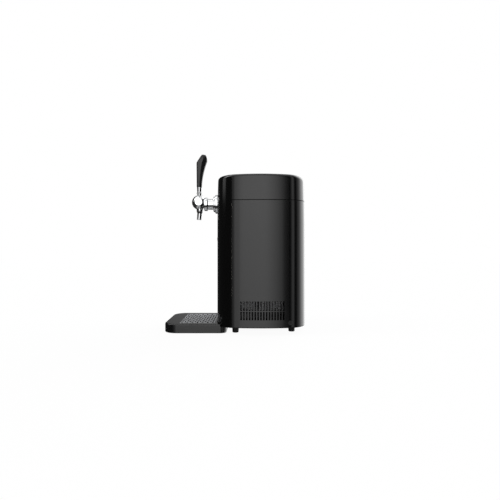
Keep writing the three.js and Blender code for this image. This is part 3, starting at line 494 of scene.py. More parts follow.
def plastic(name, colour, roughness, grain, depth, coat=0.0):
    """Moulded plastic: fine grain, uneven sheen, slightly paler worn edges."""
    made, tree = new_material(name)
    worn = tuple(min(1.0, channel * 1.8 + 0.004) for channel in colour)
    body = mix_colour(tree, object_noise(tree, 9, 4), shade(colour, 0.8), colour)
    uneven = (roughness * 0.9, roughness * 1.1)
    wire(tree, tree.nodes["Principled BSDF"], {
        "Base Color": mix_colour(tree, edge_mask(tree, 0.6 * MM), body, worn),
        "Roughness": spread(tree, object_noise(tree, 26, 5), NOISE_SPAN, uneven),
        "Normal": relief(tree, object_noise(tree, grain, 2), depth, 0.05 * MM),
        "Coat Weight": coat,
        "Coat Roughness": roughness / 2,
    })
    return made


def metal(name, colour, roughness, grain, depth, stretch=(1, 1, 1)):
    """Metal with smudged polish and a fine grain, stretched where it's brushed."""
    made, tree = new_material(name)
    uneven = (roughness * 0.75, roughness * 1.3)
    wire(tree, tree.nodes["Principled BSDF"], {
        "Metallic": 1,
        "Base Color": mix_colour(tree, object_noise(tree, 14, 4), shade(colour, 0.88), colour),
        "Roughness": spread(tree, object_noise(tree, 45, 6, stretch), NOISE_SPAN, uneven),
        "Normal": relief(tree, object_noise(tree, grain, 2, stretch), depth, 0.03 * MM),
    })
    return made


def smoked_glass(name, colour):
    made, tree = new_material(name)
    haze = object_noise(tree, 60, 4)
    wire(tree, tree.nodes["Principled BSDF"], {
        "Base Color": mix_colour(tree, haze, shade(colour, 0.6), colour),
        "Roughness": spread(tree, haze, NOISE_SPAN, (0.04, 0.1)),
        "Coat Weight": 1,
    })
    return made


def clear_hose(name, colour):
    made, tree = new_material(name)
    cloud = object_noise(tree, 40)
    wire(tree, tree.nodes["Principled BSDF"], {
        "Base Color": mix_colour(tree, cloud, shade(colour, 0.85), colour),
        "Roughness": spread(tree, cloud, NOISE_SPAN, (0.25, 0.4)),
        "Transmission Weight": 0.35,
    })
    return made


FINISHES = {
    "shell_black": plastic("satin black plastic", (0.005, 0.005, 0.0052), 0.12, 2200, 0.02),
    "fascia_black": plastic("gloss black plastic", (0.003, 0.003, 0.003), 0.14, 1400, 0.02, coat=0.3),
    "matt_black": plastic("matt black plastic", (0.006, 0.006, 0.006), 0.55, 1800, 0.12),
    "tray_black": plastic("tray black plastic", (0.0075, 0.0075, 0.0077), 0.25, 1600, 0.05),
    "handle_black": plastic("handle black plastic", (0.008, 0.008, 0.0085), 0.2, 1500, 0.04),
    "rubber_black": plastic("black rubber", (0.01, 0.01, 0.01), 0.75, 900, 0.25),
    "chrome": metal("polished chrome", (0.86, 0.87, 0.88), 0.06, 500, 0.02),
    "steel": metal("zinc plated steel", (0.5, 0.51, 0.52), 0.32, 900, 0.1, (1, 1, 6)),
    "grid_grey": metal("satin grey steel", (0.62, 0.63, 0.65), 0.42, 900, 0.1, (6, 1, 1)),
    # Aluminium colour set far darker than bare aluminium: painted shade for the parts inside the cabinet,
    # such as the heat sink seen through the vents.
    "aluminium": metal("aluminium darkened as painted shade", (0.2, 0.203, 0.206), 0.45, 700, 0.08, (1, 1, 5)),
    "foam": plastic("white foam", (0.75, 0.72, 0.62), 0.9, 700, 0.5),
    "display_glass": smoked_glass("smoked display glass", (0.004, 0.005, 0.006)),
    "board_green": plastic("board solder mask", (0.02, 0.12, 0.05), 0.4, 1200, 0.1),
    "ceramic_white": plastic("white ceramic", (0.8, 0.8, 0.77), 0.6, 1200, 0.1),
    "hose_clear": clear_hose("translucent hose", (0.75, 0.79, 0.76)),
    "brass": metal("machined brass", (0.72, 0.53, 0.24), 0.25, 800, 0.08),
}

# ---------------------------------------------------------------- dressing the frame

RECORD = frame["record"]
BODY_OF = {node: body for body, nodes in RECORD["behaviour"]["bodies"].items() for node in nodes}
SLOT_OF = {part["node"]: part["material_slot"] for part in RECORD["subparts"]}
CABINET_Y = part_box("front_fascia")[0].y / MM + HALF_DEPTH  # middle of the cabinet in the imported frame
TO_FRAME = Matrix.Scale(MM, 4) @ Matrix.Translation((0, CABINET_Y, 0))


def dress(obj, node):
    """The object stands for this CAD node: same place, same body, same material slot."""
    obj.data.transform(TO_FRAME)
    obj.data.materials.clear()
    obj.data.materials.append(FINISHES[SLOT_OF[node]])
    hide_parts(node)
    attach(obj, BODY_OF[node])


def dress_all(pieces):
    for node, piece in pieces.items():
        dress(piece, node)


def paint_cad_nodes():
    """CAD solids that stay as they are take the finish of their slot."""
    for name, node in frame["nodes"].items():
        node.data.materials.clear()
        node.data.materials.append(FINISHES[SLOT_OF[name]])


paint_cad_nodes()

# ---------------------------------------------------------------- the cabinet's plan

BACK_Y = HALF_DEPTH - CORNER
FRONT_Y = BACK_Y - FRONT_BOW
SIDE_RADIUS = (BACK_Y**2 + SIDE_BOW**2) / (2 * SIDE_BOW)
SIDE_X = HALF_WIDTH - SIDE_RADIUS
BACK_TURN = math.asin(BACK_Y / (SIDE_RADIUS - CORNER))
FRONT_TURN = math.asin(FRONT_Y / (SIDE_RADIUS - CORNER))
BACK_X = SIDE_X + (SIDE_RADIUS - CORNER) * math.cos(BACK_TURN)
FRONT_X = SIDE_X + (SIDE_RADIUS - CORNER) * math.cos(FRONT_TURN)
FRONT_RADIUS = CORNER + (FRONT_X**2 + FRONT_BOW**2) / (2 * FRONT_BOW)
FRONT_SPREAD = math.asin(FRONT_X / (FRONT_RADIUS - CORNER))


def plan_point(angle):
    """Point of the plan's right half whose outward normal points at `angle`, and that normal."""
    normal = Vector((math.cos(angle), math.sin(angle)))
    if angle < FRONT_SPREAD - RIGHT_ANGLE:
        return Vector((0, FRONT_RADIUS - HALF_DEPTH)) + FRONT_RADIUS * normal, normal
    if angle < -FRONT_TURN:
        return Vector((FRONT_X, -FRONT_Y)) + CORNER * normal, normal
    if angle <= BACK_TURN:
        return Vector((SIDE_X, 0)) + SIDE_RADIUS * normal, normal
    return Vector((BACK_X, BACK_Y)) + CORNER * normal, normal


def side_angles(exact=()):
    """Normal angles down the right side, front to back, with the exact Y positions given."""
    ends = (-SIDE_RADIUS * math.sin(FRONT_TURN), SIDE_RADIUS * math.sin(BACK_TURN))
    even = even_steps(*ends, 12)[1:-1]
    clear = [y for y in even if all(abs(y - other) > VENT_WIDTH / 2 for other in exact)]
    return [math.asin(y / SIDE_RADIUS) for y in sorted([*exact, *clear])]


def plan_stations(start=None, exact=()):
    """(point, outward normal) round the plan, counter-clockwise from the middle of the front.

    With `start` the front is left out, up to the normal angle `start` on both sides.
    """
    if start is None:
        front = even_steps(-RIGHT_ANGLE, FRONT_SPREAD - RIGHT_ANGLE, 5)[:-1]
        front += even_steps(FRONT_SPREAD - RIGHT_ANGLE, -FRONT_TURN, 20)
    else:
        front = even_steps(start, -FRONT_TURN, 6)
    back = even_steps(BACK_TURN, RIGHT_ANGLE, 20)
    right = [plan_point(angle) for angle in front + side_angles(exact) + back]
    flip = Vector((-1, 1))
    left = [(point * flip, normal * flip) for point, normal in reversed(right)]
    return right + (left[:-1] if start is None else left)


def lean(z):
    """How far the wall has leaned in at height z."""
    rise = max(0.0, (z - TAPER_FROM) / (BODY_TOP - TAPER_FROM))
    return TAPER * rise**2


def crown_drop(y, z):
    """How far the crowned top lies below its middle, fading out down the wall."""
    fade = min(1.0, max(0.0, (z - LID_BOTTOM) / (BODY_TOP - LID_BOTTOM)))
    return CROWN * (y / CROWN_AT) ** 2 * fade**2


def edge_radius(y):
    """Rounding of the top edge: larger towards the back."""
    back = max(0.0, (y - BACK_Y) / CORNER)
    return EDGE + (REAR_EDGE - EDGE) * back**2


def plan_ring(stations, z, inset=0.0):
    shift = inset + lean(z)
    return [(point.x - shift * normal.x, point.y - shift * normal.y, z) for point, normal in stations]


def top_ring(stations, turn, inset=0.0, lower=0.0):
    """Ring on the rounded top edge; `turn` runs from 0 at the wall to a right angle at the top."""
    ring = []
    for point, normal in stations:
        radius = edge_radius(point.y) - inset
        z = BODY_TOP - lower - radius * (1 - math.sin(turn))
        shift = inset + lean(z) + radius * (1 - math.cos(turn))
        x, y = point.x - shift * normal.x, point.y - shift * normal.y
        ring.append((x, y, z - crown_drop(y, z)))
    return ring


def rolled_heights(bottom, steps=4):
    """(height, inset) up the rounded bottom edge."""
    turns = even_steps(0, RIGHT_ANGLE, steps)[:-1]
    return [(bottom + BOTTOM_ROLL * (1 - math.cos(turn)), BOTTOM_ROLL * (1 - math.sin(turn)))
            for turn in turns]


def crowned_cap(rim):
    """Rings from the rim of the top towards its middle, following the crown."""
    rings = []
    for scale in (0.9, 0.7, 0.45, 0.2, 0.05):
        rise = [crown_drop(y, BODY_TOP) - crown_drop(y * scale, BODY_TOP) for _, y, _ in rim]
        rings.append([(x * scale, y * scale, z + lift) for (x, y, z), lift in zip(rim, rise)])
    return rings


def cabinet_body(name, bottom, inset=0.0, lower=0.0, rolled=False):
    """Closed body with the cabinet's outside shape from `bottom` to the crowned top."""
    stations = plan_stations()
    rings = [plan_ring(stations, z, inset + more) for z, more in (rolled_heights(bottom) if rolled else ())]
    wall_from = bottom + (BOTTOM_ROLL if rolled else 0)
    lean_from = max(wall_from, TAPER_FROM)
    wall_top = BODY_TOP - REAR_EDGE - lower - 1
    heights = [] if wall_from >= TAPER_FROM else [wall_from]
    heights += even_steps(lean_from, wall_top, 6)
    rings += [plan_ring(stations, z, inset) for z in heights]
    rings += [top_ring(stations, turn, inset, lower) for turn in even_steps(0, RIGHT_ANGLE, 8)]
    rings += crowned_cap(rings[-1])
    bm = bmesh.new()
    stack_rings(bm, rings)
    return add_object(name, bm)


def keep_side(obj, y, front):
    """Keeps what lies in front of (or behind) the plane Y = y and closes the cut."""
    bm = bmesh.new()
    bm.from_mesh(obj.data)
    geometry = bm.verts[:] + bm.edges[:] + bm.faces[:]
    result = bmesh.ops.bisect_plane(bm, geom=geometry, plane_co=(0, y, 0), plane_no=(0, 1, 0),
                                    clear_outer=front, clear_inner=not front)
    edges = [item for item in result["geom_cut"] if isinstance(item, bmesh.types.BMEdge)]
    bmesh.ops.contextual_create(bm, geom=edges)
    bmesh.ops.recalc_face_normals(bm, faces=bm.faces)
    bm.to_mesh(obj.data)
    bm.free()
    return obj


def plan_prism(name, inset, bottom, top, front=None):
    """Closed straight prism of the plan, moved in by `inset`, cut off in front of Y = front."""
    stations = plan_stations()
    outline = [(point.x - inset * normal.x, point.y - inset * normal.y) for point, normal in stations]
    prism = drawn_out(name, outline, "z", bottom, top)
    return prism if front is None else keep_side(prism, front, front=False)


# ---------------------------------------------------------------- cabinet casing


def vent_edges():
    middles = [VENT_MIDDLE + (index - (VENT_COUNT - 1) / 2) * VENT_PITCH for index in range(VENT_COUNT)]
    return [around(middle, VENT_WIDTH / 2) for middle in middles]


def in_vent(y, z):
    in_row = any(low < z < high for low, high in VENT_ROWS)
    return in_row and any(low < y < high for low, high in vent_edges())


def side_shell():
    """C-shaped wall from one part line round the back to the other, pierced by both rows of vents."""
    start = math.asin((PART_LINE + GAP + FRONT_Y) / CORNER)
    stations = plan_stations(start, [y for pair in vent_edges() for y in pair])
    rows = rolled_heights(BODY_BOTTOM) + [(BODY_BOTTOM + BOTTOM_ROLL, 0)]
    rows += [(VENT_ROWS[0][0] - VENT_WIDTH, 0)] + [(z, 0) for row in VENT_ROWS for z in row]
    rows += [(VENT_ROWS[-1][1] + VENT_WIDTH, 0), (200, 0)]
    rows += [(z, 0) for z in even_steps(TAPER_FROM, SIDE_TOP, 4)]
    bm = bmesh.new()
    grid = [[bm.verts.new(point) for point in plan_ring(stations, z, inset)] for z, inset in rows]
    for row in range(len(rows) - 1):
        middle_z = (rows[row][0] + rows[row + 1][0]) / 2
        for column in range(len(stations) - 1):
            middle_y = (stations[column][0].y + stations[column + 1][0].y) / 2
            if not in_vent(middle_y, middle_z):
                low, high = grid[row], grid[row + 1]
                bm.faces.new((low[column], low[column + 1], high[column + 1], high[column]))
    loose = [vert for vert in bm.verts if not vert.link_faces]
    bmesh.ops.delete(bm, geom=loose, context="VERTS")
    shell = add_object("cabinet_shell", bm, closed=False)
    thicken = shell.modifiers.new("thicken", "SOLIDIFY")
    thicken.thickness = WALL
    thicken.offset = -1
    thicken.use_even_offset = True
    bake(shell)
    cut(shell, *rear_openings(), *(plug_hole(side) for side in (-1, 1)))
    return soften(shell, 0.3)


def plug_hole(side):
    return rod("tool", "x", PLUG_RADIUS, *sorted((side * HALF_WIDTH * 0.8, side * FAR)), (PLUG_Y, PLUG_Z))


def rear_openings():
    """Tools for the power inlet, the power switch and the hinge screws."""
    depths = (HALF_DEPTH - WALL - PAST, HALF_DEPTH + PAST)
    zs = (POWER_ZS[0] - GAP, POWER_ZS[1] + GAP)
    yield slab("tool", both(INLET_HALF + GAP), depths, zs)
    yield slab("tool", around(ROCKER_X, BEZEL_HALF + GAP), depths, zs)
    for x in both(SCREW_X):
        yield rod("tool", "y", SCREW_HOLE, *depths, (x, SCREW_BASE_Z), 24)


def front_fascia():
    """Curved front column from foot level to the crowned top, closed behind at lid height."""
    fascia = keep_side(cabinet_body("front_column", BODY_BOTTOM, rolled=True), PART_LINE, front=True)
    hollow = cabinet_body("tool", BODY_BOTTOM - PAST, WALL, WALL)
    back_wall = slab("tool", both(FAR), (PART_LINE - WALL, FAR), (LID_BOTTOM, BODY_TOP + PAST))
    cut(fascia, cut(hollow, back_wall), *front_openings())
    return soften(fascia, 0.5)


def front_openings():
    """Tools for the beer line, the shank, the display and the two buttons."""
    through = (-HALF_DEPTH - PAST, -HALF_DEPTH + WALL + PAST)
    line_depths = (PART_LINE - WALL - PAST, PART_LINE + PAST)
    yield slab("tool", both(LINE_SLOT_HALF), line_depths, (LID_BOTTOM - PAST, LINE_SLOT_TOP))
    yield rod("tool", "y", SHANK_HOLE, *through, (0, TAP_Z))
    yield drawn_out("tool", round_rectangle(DISPLAY_ZS, both(DISPLAY_HALF), 2), "y", *through)
    for x in both(BUTTON_X):
        yield rod("tool", "y", BUTTON_RADIUS, *through, (x, BUTTON_Z))


def lid_shell():
    """Lid: the rest of the cabinet's top, hollow, notched in front for the beer line."""
    front = PART_LINE + GAP
    shell = keep_side(cabinet_body("lid_cover", LID_BOTTOM, LID_INSET), front, front=False)
    hollow = cabinet_body("tool", LID_BOTTOM - PAST, LID_INSET + WALL, WALL)
    notch_zs = (LID_BOTTOM - PAST, LINE_SLOT_TOP)
    notch = slab("tool", both(LINE_SLOT_HALF), (front - PAST, front + 2 * PAST), notch_zs)
    holes = [rod("tool", "y", SCREW_HOLE, HALF_DEPTH - 2 * PAST, HALF_DEPTH + PAST, (x, SCREW_LID_Z), 24)
             for x in both(SCREW_X)]
    cut(shell, keep_side(hollow, front + WALL, front=False), notch, *holes)
    return soften(shell, 0.6)


def lid_dome(bottom, grown):
    """Solid dome over the keg fittings, `grown` larger than the room inside the liner."""
    shoulder = arc((DOME_RADIUS - DOME_EDGE, DOME_TOP - DOME_EDGE), DOME_EDGE + grown, 0, 90)
    return turned("tool", [(DOME_RADIUS + grown, bottom), *shoulder], "z", (0, CAVITY_Y))


def lid_line_slot():
    """Room for the beer line from the front of the lid to the dome."""
    return slab("tool", both(LINE_SLOT_HALF), (LID_FILL_FRONT - 2 * PAST, CAVITY_Y - DOME_RADIUS / 2),
                (LID_BOTTOM - PAST, LINE_SLOT_TOP))


def lid_liner():
    """Inside of the lid: a flange under the foam and a dome over the keg fittings."""
    flange_top = LID_BOTTOM + LINER_WALL
    flange = plan_prism("lid_liner_shell", LID_INSET + WALL + GAP, LID_BOTTOM, flange_top, LID_FILL_FRONT)
    join(flange, lid_dome(LID_BOTTOM, LINER_WALL))
    cut(flange, lid_dome(LID_BOTTOM - PAST, 0), lid_line_slot())
    return soften(flange, 0.5)


def lid_foam():
    """Foam between the lid's outside and the liner."""
    bottom = LID_BOTTOM + LINER_WALL + GAP
    block = cabinet_body("lid_filling", bottom, LID_INSET + WALL + GAP, WALL + GAP)
    keep_side(block, LID_FILL_FRONT, front=False)
    cut(block, lid_dome(bottom - PAST, LINER_WALL + GAP), lid_line_slot())
    return soften(block, 0.5)


def top_deck():
    deck = plan_prism("upper_deck", WALL + GAP, DECK_BOTTOM, DECK_TOP, DECK_FRONT)
    cut(deck, rod("tool", "z", CAVITY_RADIUS, DECK_BOTTOM - PAST, DECK_TOP + PAST, (0, CAVITY_Y), 128))
    return soften(deck, 0.6)


def deck_gasket():
    bottom, top = DECK_TOP + GAP, LID_BOTTOM - GAP
    front = PART_LINE + GAP
    ring = plan_prism("lid_seal", LID_INSET + SEAL_OUTER + 0.3, bottom, top, front + SEAL_OUTER)
    cut(ring, plan_prism("tool", LID_INSET + SEAL_INNER + 0.3, bottom - PAST, top + PAST, front + SEAL_INNER))
    return soften(ring, 1.2, 4)


def cavity_liner():
    """Round well with a rim under the deck and a rounded edge round its floor."""
    outside = CAVITY_RADIUS + CAVITY_WALL
    rim_top = DECK_BOTTOM - GAP
    rim_bottom = rim_top - CAVITY_WALL
    profile = [(outside, CAVITY_FLOOR - FLOOR_PLATE), (outside, rim_bottom), (RIM_RADIUS, rim_bottom),
               (RIM_RADIUS, rim_top), (CAVITY_RADIUS, rim_top),
               *arc((CAVITY_RADIUS - CAVITY_EDGE, CAVITY_FLOOR + CAVITY_EDGE), CAVITY_EDGE, 0, -90)]
    return soften(turned("keg_well", profile, "z", (0, CAVITY_Y), 128), 0)


def heat_sink():
    """Plate with three runs of thin fins under it, the middle run staggered."""
    low, high = SINK_ZS
    block = slab("finned_block", (SINK_RUNS[0][0], SINK_RUNS[-1][1]), SINK_YS, (high - SINK_BASE, high))
    bm = bmesh.new()
    for run, span in enumerate(SINK_RUNS):
        for index in range(FIN_COUNT):
            near = SINK_YS[0] + FIN_THICKNESS * (0.25 + 2 * index + run % 2)
            far = near + FIN_THICKNESS
            top = high - SINK_BASE / 2
            stack_rings(bm, [[(x, near, low), (x, far, low), (x, far, top), (x, near, top)] for x in span])
    join(block, add_object("tool", bm))
    return soften(block, 0.2)


def foot(name, x, y):
    """Slightly tapered foot with a rounded rim and a collar under the cabinet."""
    edge = 1.2
    collar = FOOT_HEIGHT - 6
    profile = [*arc((FOOT_RADIUS - 1 - edge, edge), edge, -90, 0), (FOOT_RADIUS - 0.4, collar),
               (FOOT_RADIUS, collar + 0.8), (FOOT_RADIUS, FOOT_HEIGHT)]
    return soften(turned(name, profile, "z", (x, y)), 0)


def side_plug(name, side):
    """Round plug with a raised rim and a raised middle."""
    rim = PLUG_RADIUS - GAP
    middle = 1.9
    slope = 0.5
    dish = PLUG_FACE - 0.9
    profile = [(rim, PLUG_FACE - PLUG_DEPTH), (rim, PLUG_FACE - 0.6), (rim - slope, PLUG_FACE),
               (rim - middle, PLUG_FACE), (rim - middle - slope, dish), (middle, dish),
               (middle - slope, PLUG_FACE - 0.2)]
    plug = turned(name, profile, "x", (PLUG_Y, PLUG_Z), 64)
    if side < 0:
        plug.data.transform(Matrix.Diagonal((-1, 1, 1, 1)))
        plug.data.flip_normals()
    return soften(plug, 0.15)


dress_all({
    "side_shell": side_shell(),
    "front_fascia": front_fascia(),
    "lid_shell": lid_shell(),
    "lid_liner": lid_liner(),
    "lid_foam": lid_foam(),
    "top_deck": top_deck(),
    "deck_gasket": deck_gasket(),
    "cavity_liner": cavity_liner(),
    "heat_sink": heat_sink(),
})
for place, (foot_x, foot_y) in FOOT_PLACES.items():
    dress(foot(f"rubber_foot_{place}_left", -foot_x, foot_y), f"foot_{place}_left")
    dress(foot(f"rubber_foot_{place}_right", foot_x, foot_y), f"foot_{place}_right")
dress_all({
    "side_plug_left": side_plug("plug_left", -1),
    "side_plug_right": side_plug("plug_right", 1),
})

# ---------------------------------------------------------------- hinge


def hinge_plate(name, xs, ys, zs):
    return drawn_out(name, round_rectangle(zs, xs, 2), "y", *ys)


def hinge_leaf(name, plates, knuckles, screw_z, face):
    """A leaf made of plates and knuckles, bored for the pin and for its two screws."""
    leaf = plates[0]
    leaf.name = name
    axis = (HINGE_Y, LID_BOTTOM)
    join(leaf, *plates[1:], *(rod("tool", "x", HINGE_RADIUS, *span, axis) for span in knuckles))
    cut(leaf, rod("tool", "x", HINGE_BORE, *both(HINGE_HALF + PAST), axis, 32))
    cut(leaf, *(rod("tool", "y", SCREW_HOLE, *around(face, PAST), (x, screw_z), 24) for x in both(SCREW_X)))
    return soften(leaf, 0.2)


def base_leaf():
    face = BASE_LEAF_FACE
    depths = (face, face + HINGE_LEAF)
    spans = ((-HINGE_HALF, -HINGE_LID_HALF - GAP), (HINGE_LID_HALF + GAP, HINGE_HALF))
    plates = [hinge_plate("tool", both(HINGE_HALF), depths, LEAF_ZS)]
    plates += [slab("tool", span, depths, (LEAF_ZS[1] - PAST, LID_BOTTOM)) for span in spans]
    return hinge_leaf("fixed_leaf", plates, spans, SCREW_BASE_Z, face)


def lid_leaf():
    face = LID_LEAF_FACE
    span = both(HINGE_LID_HALF)
    plates = [hinge_plate("tool", both(HINGE_HALF), (face, face + HINGE_LEAF), LID_LEAF_ZS),
              slab("tool", span, (face, HINGE_Y), (LID_BOTTOM + HINGE_BORE, LID_LEAF_ZS[0] + GAP))]
    return hinge_leaf("moving_leaf", plates, (span,), SCREW_LID_Z, face)


def leaf_screw(name, x, z, face):
    """Pan-head screw with a crossed recess."""
    seat = face + HINGE_LEAF + GAP
    dome = [(SCREW_HEAD * u, seat + 0.3 + v) for u, v in arc((0, 0), 1, 0, 84, 5)]
    shaft = [(SCREW_RADIUS, seat - SCREW_LENGTH), (SCREW_RADIUS, seat)]
    screw = turned(name, [*shaft, (SCREW_HEAD, seat), *dome], "y", (x, z), 48)
    recess = (seat + 0.6, seat + PAST)
    reach, half = 1.4, 0.3
    cut(screw, slab("tool", around(x, reach), recess, around(z, half)),
        slab("tool", around(x, half), recess, around(z, reach)))
    return soften(screw, 0.08)


dress_all({
    "hinge_leaf_base": base_leaf(),
    "hinge_leaf_lid": lid_leaf(),
    "hinge_pin": soften(rod("hinge_rod", "x", HINGE_PIN, *both(HINGE_HALF), (HINGE_Y, LID_BOTTOM)), 0.2),
})
for side, screw_x in (("left", -SCREW_X), ("right", SCREW_X)):
    base_screw = leaf_screw(f"cabinet_screw_{side}", screw_x, SCREW_BASE_Z, BASE_LEAF_FACE)
    dress(base_screw, f"hinge_screw_base_{side}")
    lid_screw = leaf_screw(f"lid_screw_{side}", screw_x, SCREW_LID_Z, LID_LEAF_FACE)
    dress(lid_screw, f"hinge_screw_lid_{side}")

# ---------------------------------------------------------------- controls and power


def display_window():
    """Smoked pane with a wider lip behind the front wall."""
    low, high = DISPLAY_ZS
    face = -HALF_DEPTH - 0.3
    pane_outline = round_rectangle((low + GAP, high - GAP), both(DISPLAY_HALF - GAP), 1.8)
    pane = drawn_out("display_pane", pane_outline, "y", face, FRONT_INSIDE + GAP)
    lip_outline = round_rectangle((low - 3, high + 3), both(DISPLAY_HALF + 2.6), 2)
    lip = drawn_out("tool", lip_outline, "y", FRONT_INSIDE, FRONT_INSIDE + 1.2)
    return soften(join(pane, lip), 0.25)


def button(name, x):
    """Round key with a dished face and a flange behind the front wall."""
    face = -HALF_DEPTH - BUTTON_RISE
    cap = BUTTON_RADIUS - GAP
    flange = BUTTON_RADIUS + 2
    profile = [(1.5, face + 0.5), (3.6, face + 0.3), (cap - 0.9, face), (cap, face + 0.8),
               (cap, FRONT_INSIDE), (flange, FRONT_INSIDE), (flange, FRONT_INSIDE + 1.4)]
    return soften(turned(name, profile, "y", (x, BUTTON_Z)), 0.12)


def power_inlet():
    """Two-pin mains inlet with a rounded recess."""
    body_outline = round_rectangle(POWER_ZS, both(INLET_HALF), 1.5)
    body = drawn_out("mains_inlet", body_outline, "y", POWER_Y, INLET_BACK)
    recess_outline = round_rectangle(around(POWER_Z, 3.6), both(9), 3.5)
    recess_floor = INLET_BACK - 10
    cut(body, drawn_out("tool", recess_outline, "y", recess_floor, INLET_BACK + PAST))
    pin = [(1.1, recess_floor - 1), (1.1, INLET_BACK - 4.6), (0.6, INLET_BACK - 4)]
    pins = [turned("tool", pin, "y", (x, POWER_Z), 32) for x in both(4.5)]
    return soften(join(body, *pins), 0.3)


def switch_bezel():
    outline = round_rectangle(POWER_ZS, around(ROCKER_X, BEZEL_HALF), 1.2)
    bezel = drawn_out("switch_frame", outline, "y", POWER_Y, BEZEL_BACK)
    well_depths = (BEZEL_BACK - 9, BEZEL_BACK + PAST)
    cut(bezel, slab("tool", around(ROCKER_X, 7.5), well_depths, around(POWER_Z, ROCKER_REACH)))
    return soften(bezel, 0.3)


def power_rocker():
    """Rocker key with a hollow face, tipped to its off side."""
    pivot = Vector((ROCKER_X, BEZEL_BACK - ROCKER_REACH, POWER_Z))
    half = 4
    hollow = 0.9
    face = [(ROCKER_REACH + 1 - hollow * (1 - (z / half) ** 2), z) for z in range(-half, half + 1)]
    outline = [(-2, -2), (ROCKER_REACH, -half), *face, (ROCKER_REACH, half), (-2, 2)]
    key = drawn_out("rocker_key", outline, "x", *both(7.1))
    key.data.transform(Matrix.Translation(pivot) @ Matrix.Rotation(math.radians(ROCKER_TIP), 4, "X"))
    return soften(key, 0.25)


dress_all({
    "display_window": display_window(),
    "button_colder": button("key_colder", -BUTTON_X),
    "button_warmer": button("key_warmer", BUTTON_X),
    "power_inlet": power_inlet(),
    "switch_bezel": switch_bezel(),
    "power_rocker": power_rocker(),
})

# ---------------------------------------------------------------- tap


def faucet_flange():
    """Stepped round plate against the front of the cabinet."""
    front, back = FLANGE_YS
    step, rim = FLANGE_RADII
    chamfer, small, large = 0.6, 1.4, 2.4
    profile = [(SHANK_HOLE, front + chamfer), (SHANK_HOLE + chamfer, front),
               *arc((step - small, front + small), small, -90, 0), (step + 0.2, front + 5),
               *arc((rim - large, front + 7.8), large, -70, 0), (rim, back - 0.5), (rim - 0.5, back),
               (SHANK_HOLE, back), (SHANK_HOLE, front + chamfer)]
    return soften(turned("tap_flange", profile, "y", (0, TAP_Z), 128), 0, angle=40)


def shank_threads():
    """Profile of the thread behind the flange: flat crests and flat roots."""
    root = SHANK_RADIUS - THREAD_DEPTH
    crest, flank = 0.6, 0.4
    points = []
    for turn in range(THREAD_TURNS):
        start = THREAD_FROM + turn * THREAD_PITCH
        points += [(SHANK_RADIUS, start), (SHANK_RADIUS, start + crest)]
        points += [(root, start + crest + flank), (root, start + crest + 2 * flank)]
    return points


def faucet_shank():
    """Threaded shank with a smooth sleeve in front of the flange."""
    front, back = SHANK_YS
    sleeve_back = FLANGE_YS[0] - GAP
    edge, chamfer = 1.4, 0.6
    rim = SLEEVE_RADIUS - 0.5
    sleeve = [*arc((rim - edge, front + edge), edge, -90, 0), (SLEEVE_RADIUS, front + 1.8),
              (SLEEVE_RADIUS, sleeve_back - chamfer), (SLEEVE_RADIUS - chamfer, sleeve_back)]
    profile = [(SHANK_BORE, front), *sleeve, (SHANK_RADIUS, sleeve_back), *shank_threads(),
               (SHANK_RADIUS - chamfer, back), (SHANK_BORE, back), (SHANK_BORE, front)]
    return soften(turned("tap_shank", profile, "y", (0, TAP_Z), 96), 0, angle=40)


def shank_nut():
    """Hexagonal nut with turned corners."""
    front, back = NUT_YS
    chamfer = 1.6
    wide, narrow = NUT_RADIUS + 0.2, NUT_RADIUS - 2
    nut = drawn_out("lock_nut", circle(NUT_RADIUS, 6), "y", front, back)
    nut.data.transform(Matrix.Translation((0, 0, TAP_Z)))
    blank = [(narrow, front), (wide, front + chamfer), (wide, back - chamfer), (narrow, back)]
    cut(nut, turned("tool", blank, "y", (0, TAP_Z)), keep="INTERSECT")
    cut(nut, rod("tool", "y", SHANK_HOLE, front - PAST, back + PAST, (0, TAP_Z)))
    return soften(nut, 0.25)


def faucet_collar():
    """Ring nut with rounded rims."""
    front, back = COLLAR_YS
    chamfer, near, far = 0.6, 2.2, 1.6
    profile = [(SHANK_HOLE, front + chamfer), (SHANK_HOLE + chamfer, front),
               *arc((COLLAR_RADIUS - near, front + near), near, -90, 0),
               *arc((COLLAR_RADIUS - far, back - far), far, 0, 90), (SHANK_HOLE, back),
               (SHANK_HOLE, front + chamfer)]
    return soften(turned("tap_collar", profile, "y", (0, TAP_Z), 128), 0, angle=40)


def ball_solid():
    bm = bmesh.new()
    bmesh.ops.create_uvsphere(bm, u_segments=96, v_segments=64, radius=BALL_RADIUS)
    bm.transform(Matrix.Translation((0, BALL_Y, BALL_Z)) @ Matrix.Rotation(RIGHT_ANGLE, 4, "Y"))
    return add_object("tap_body", bm)


def pipe(axis, radii, start, end, centre):
    """A ring-shaped tool between two radii."""
    inner, outer = radii
    profile = [(inner, start), (outer, start), (outer, end), (inner, end), (inner, start)]
    return turned("tool", profile, axis, centre)


def stem_room():
    """Room the stem sweeps between upright and pulled fully forward."""
    half = STEM_RADIUS + GAP
    reach = BALL_RADIUS + PAST
    sine, cosine = math.sin(STEM_SWING), math.cos(STEM_SWING)
    outline = [(half, 0), (half, reach), (-reach * sine, reach * cosine + half),
               (-reach * sine - half * cosine, reach * cosine - half * sine), (-half * cosine, -half * sine)]
    placed = [(BALL_Y + u, BALL_Z + v) for u, v in outline]
    return drawn_out("tool", placed, "x", *both(half))


def spout_boss():
    rim = 10
    profile = [(8.4, 359), (9.6, 359.4), (rim, 360.4), (rim, SPOUT_TOP), (9, SPOUT_TOP + 3), (9, BALL_Z - 4)]
    return turned("tool", profile, "z", (0, SPOUT_Y))


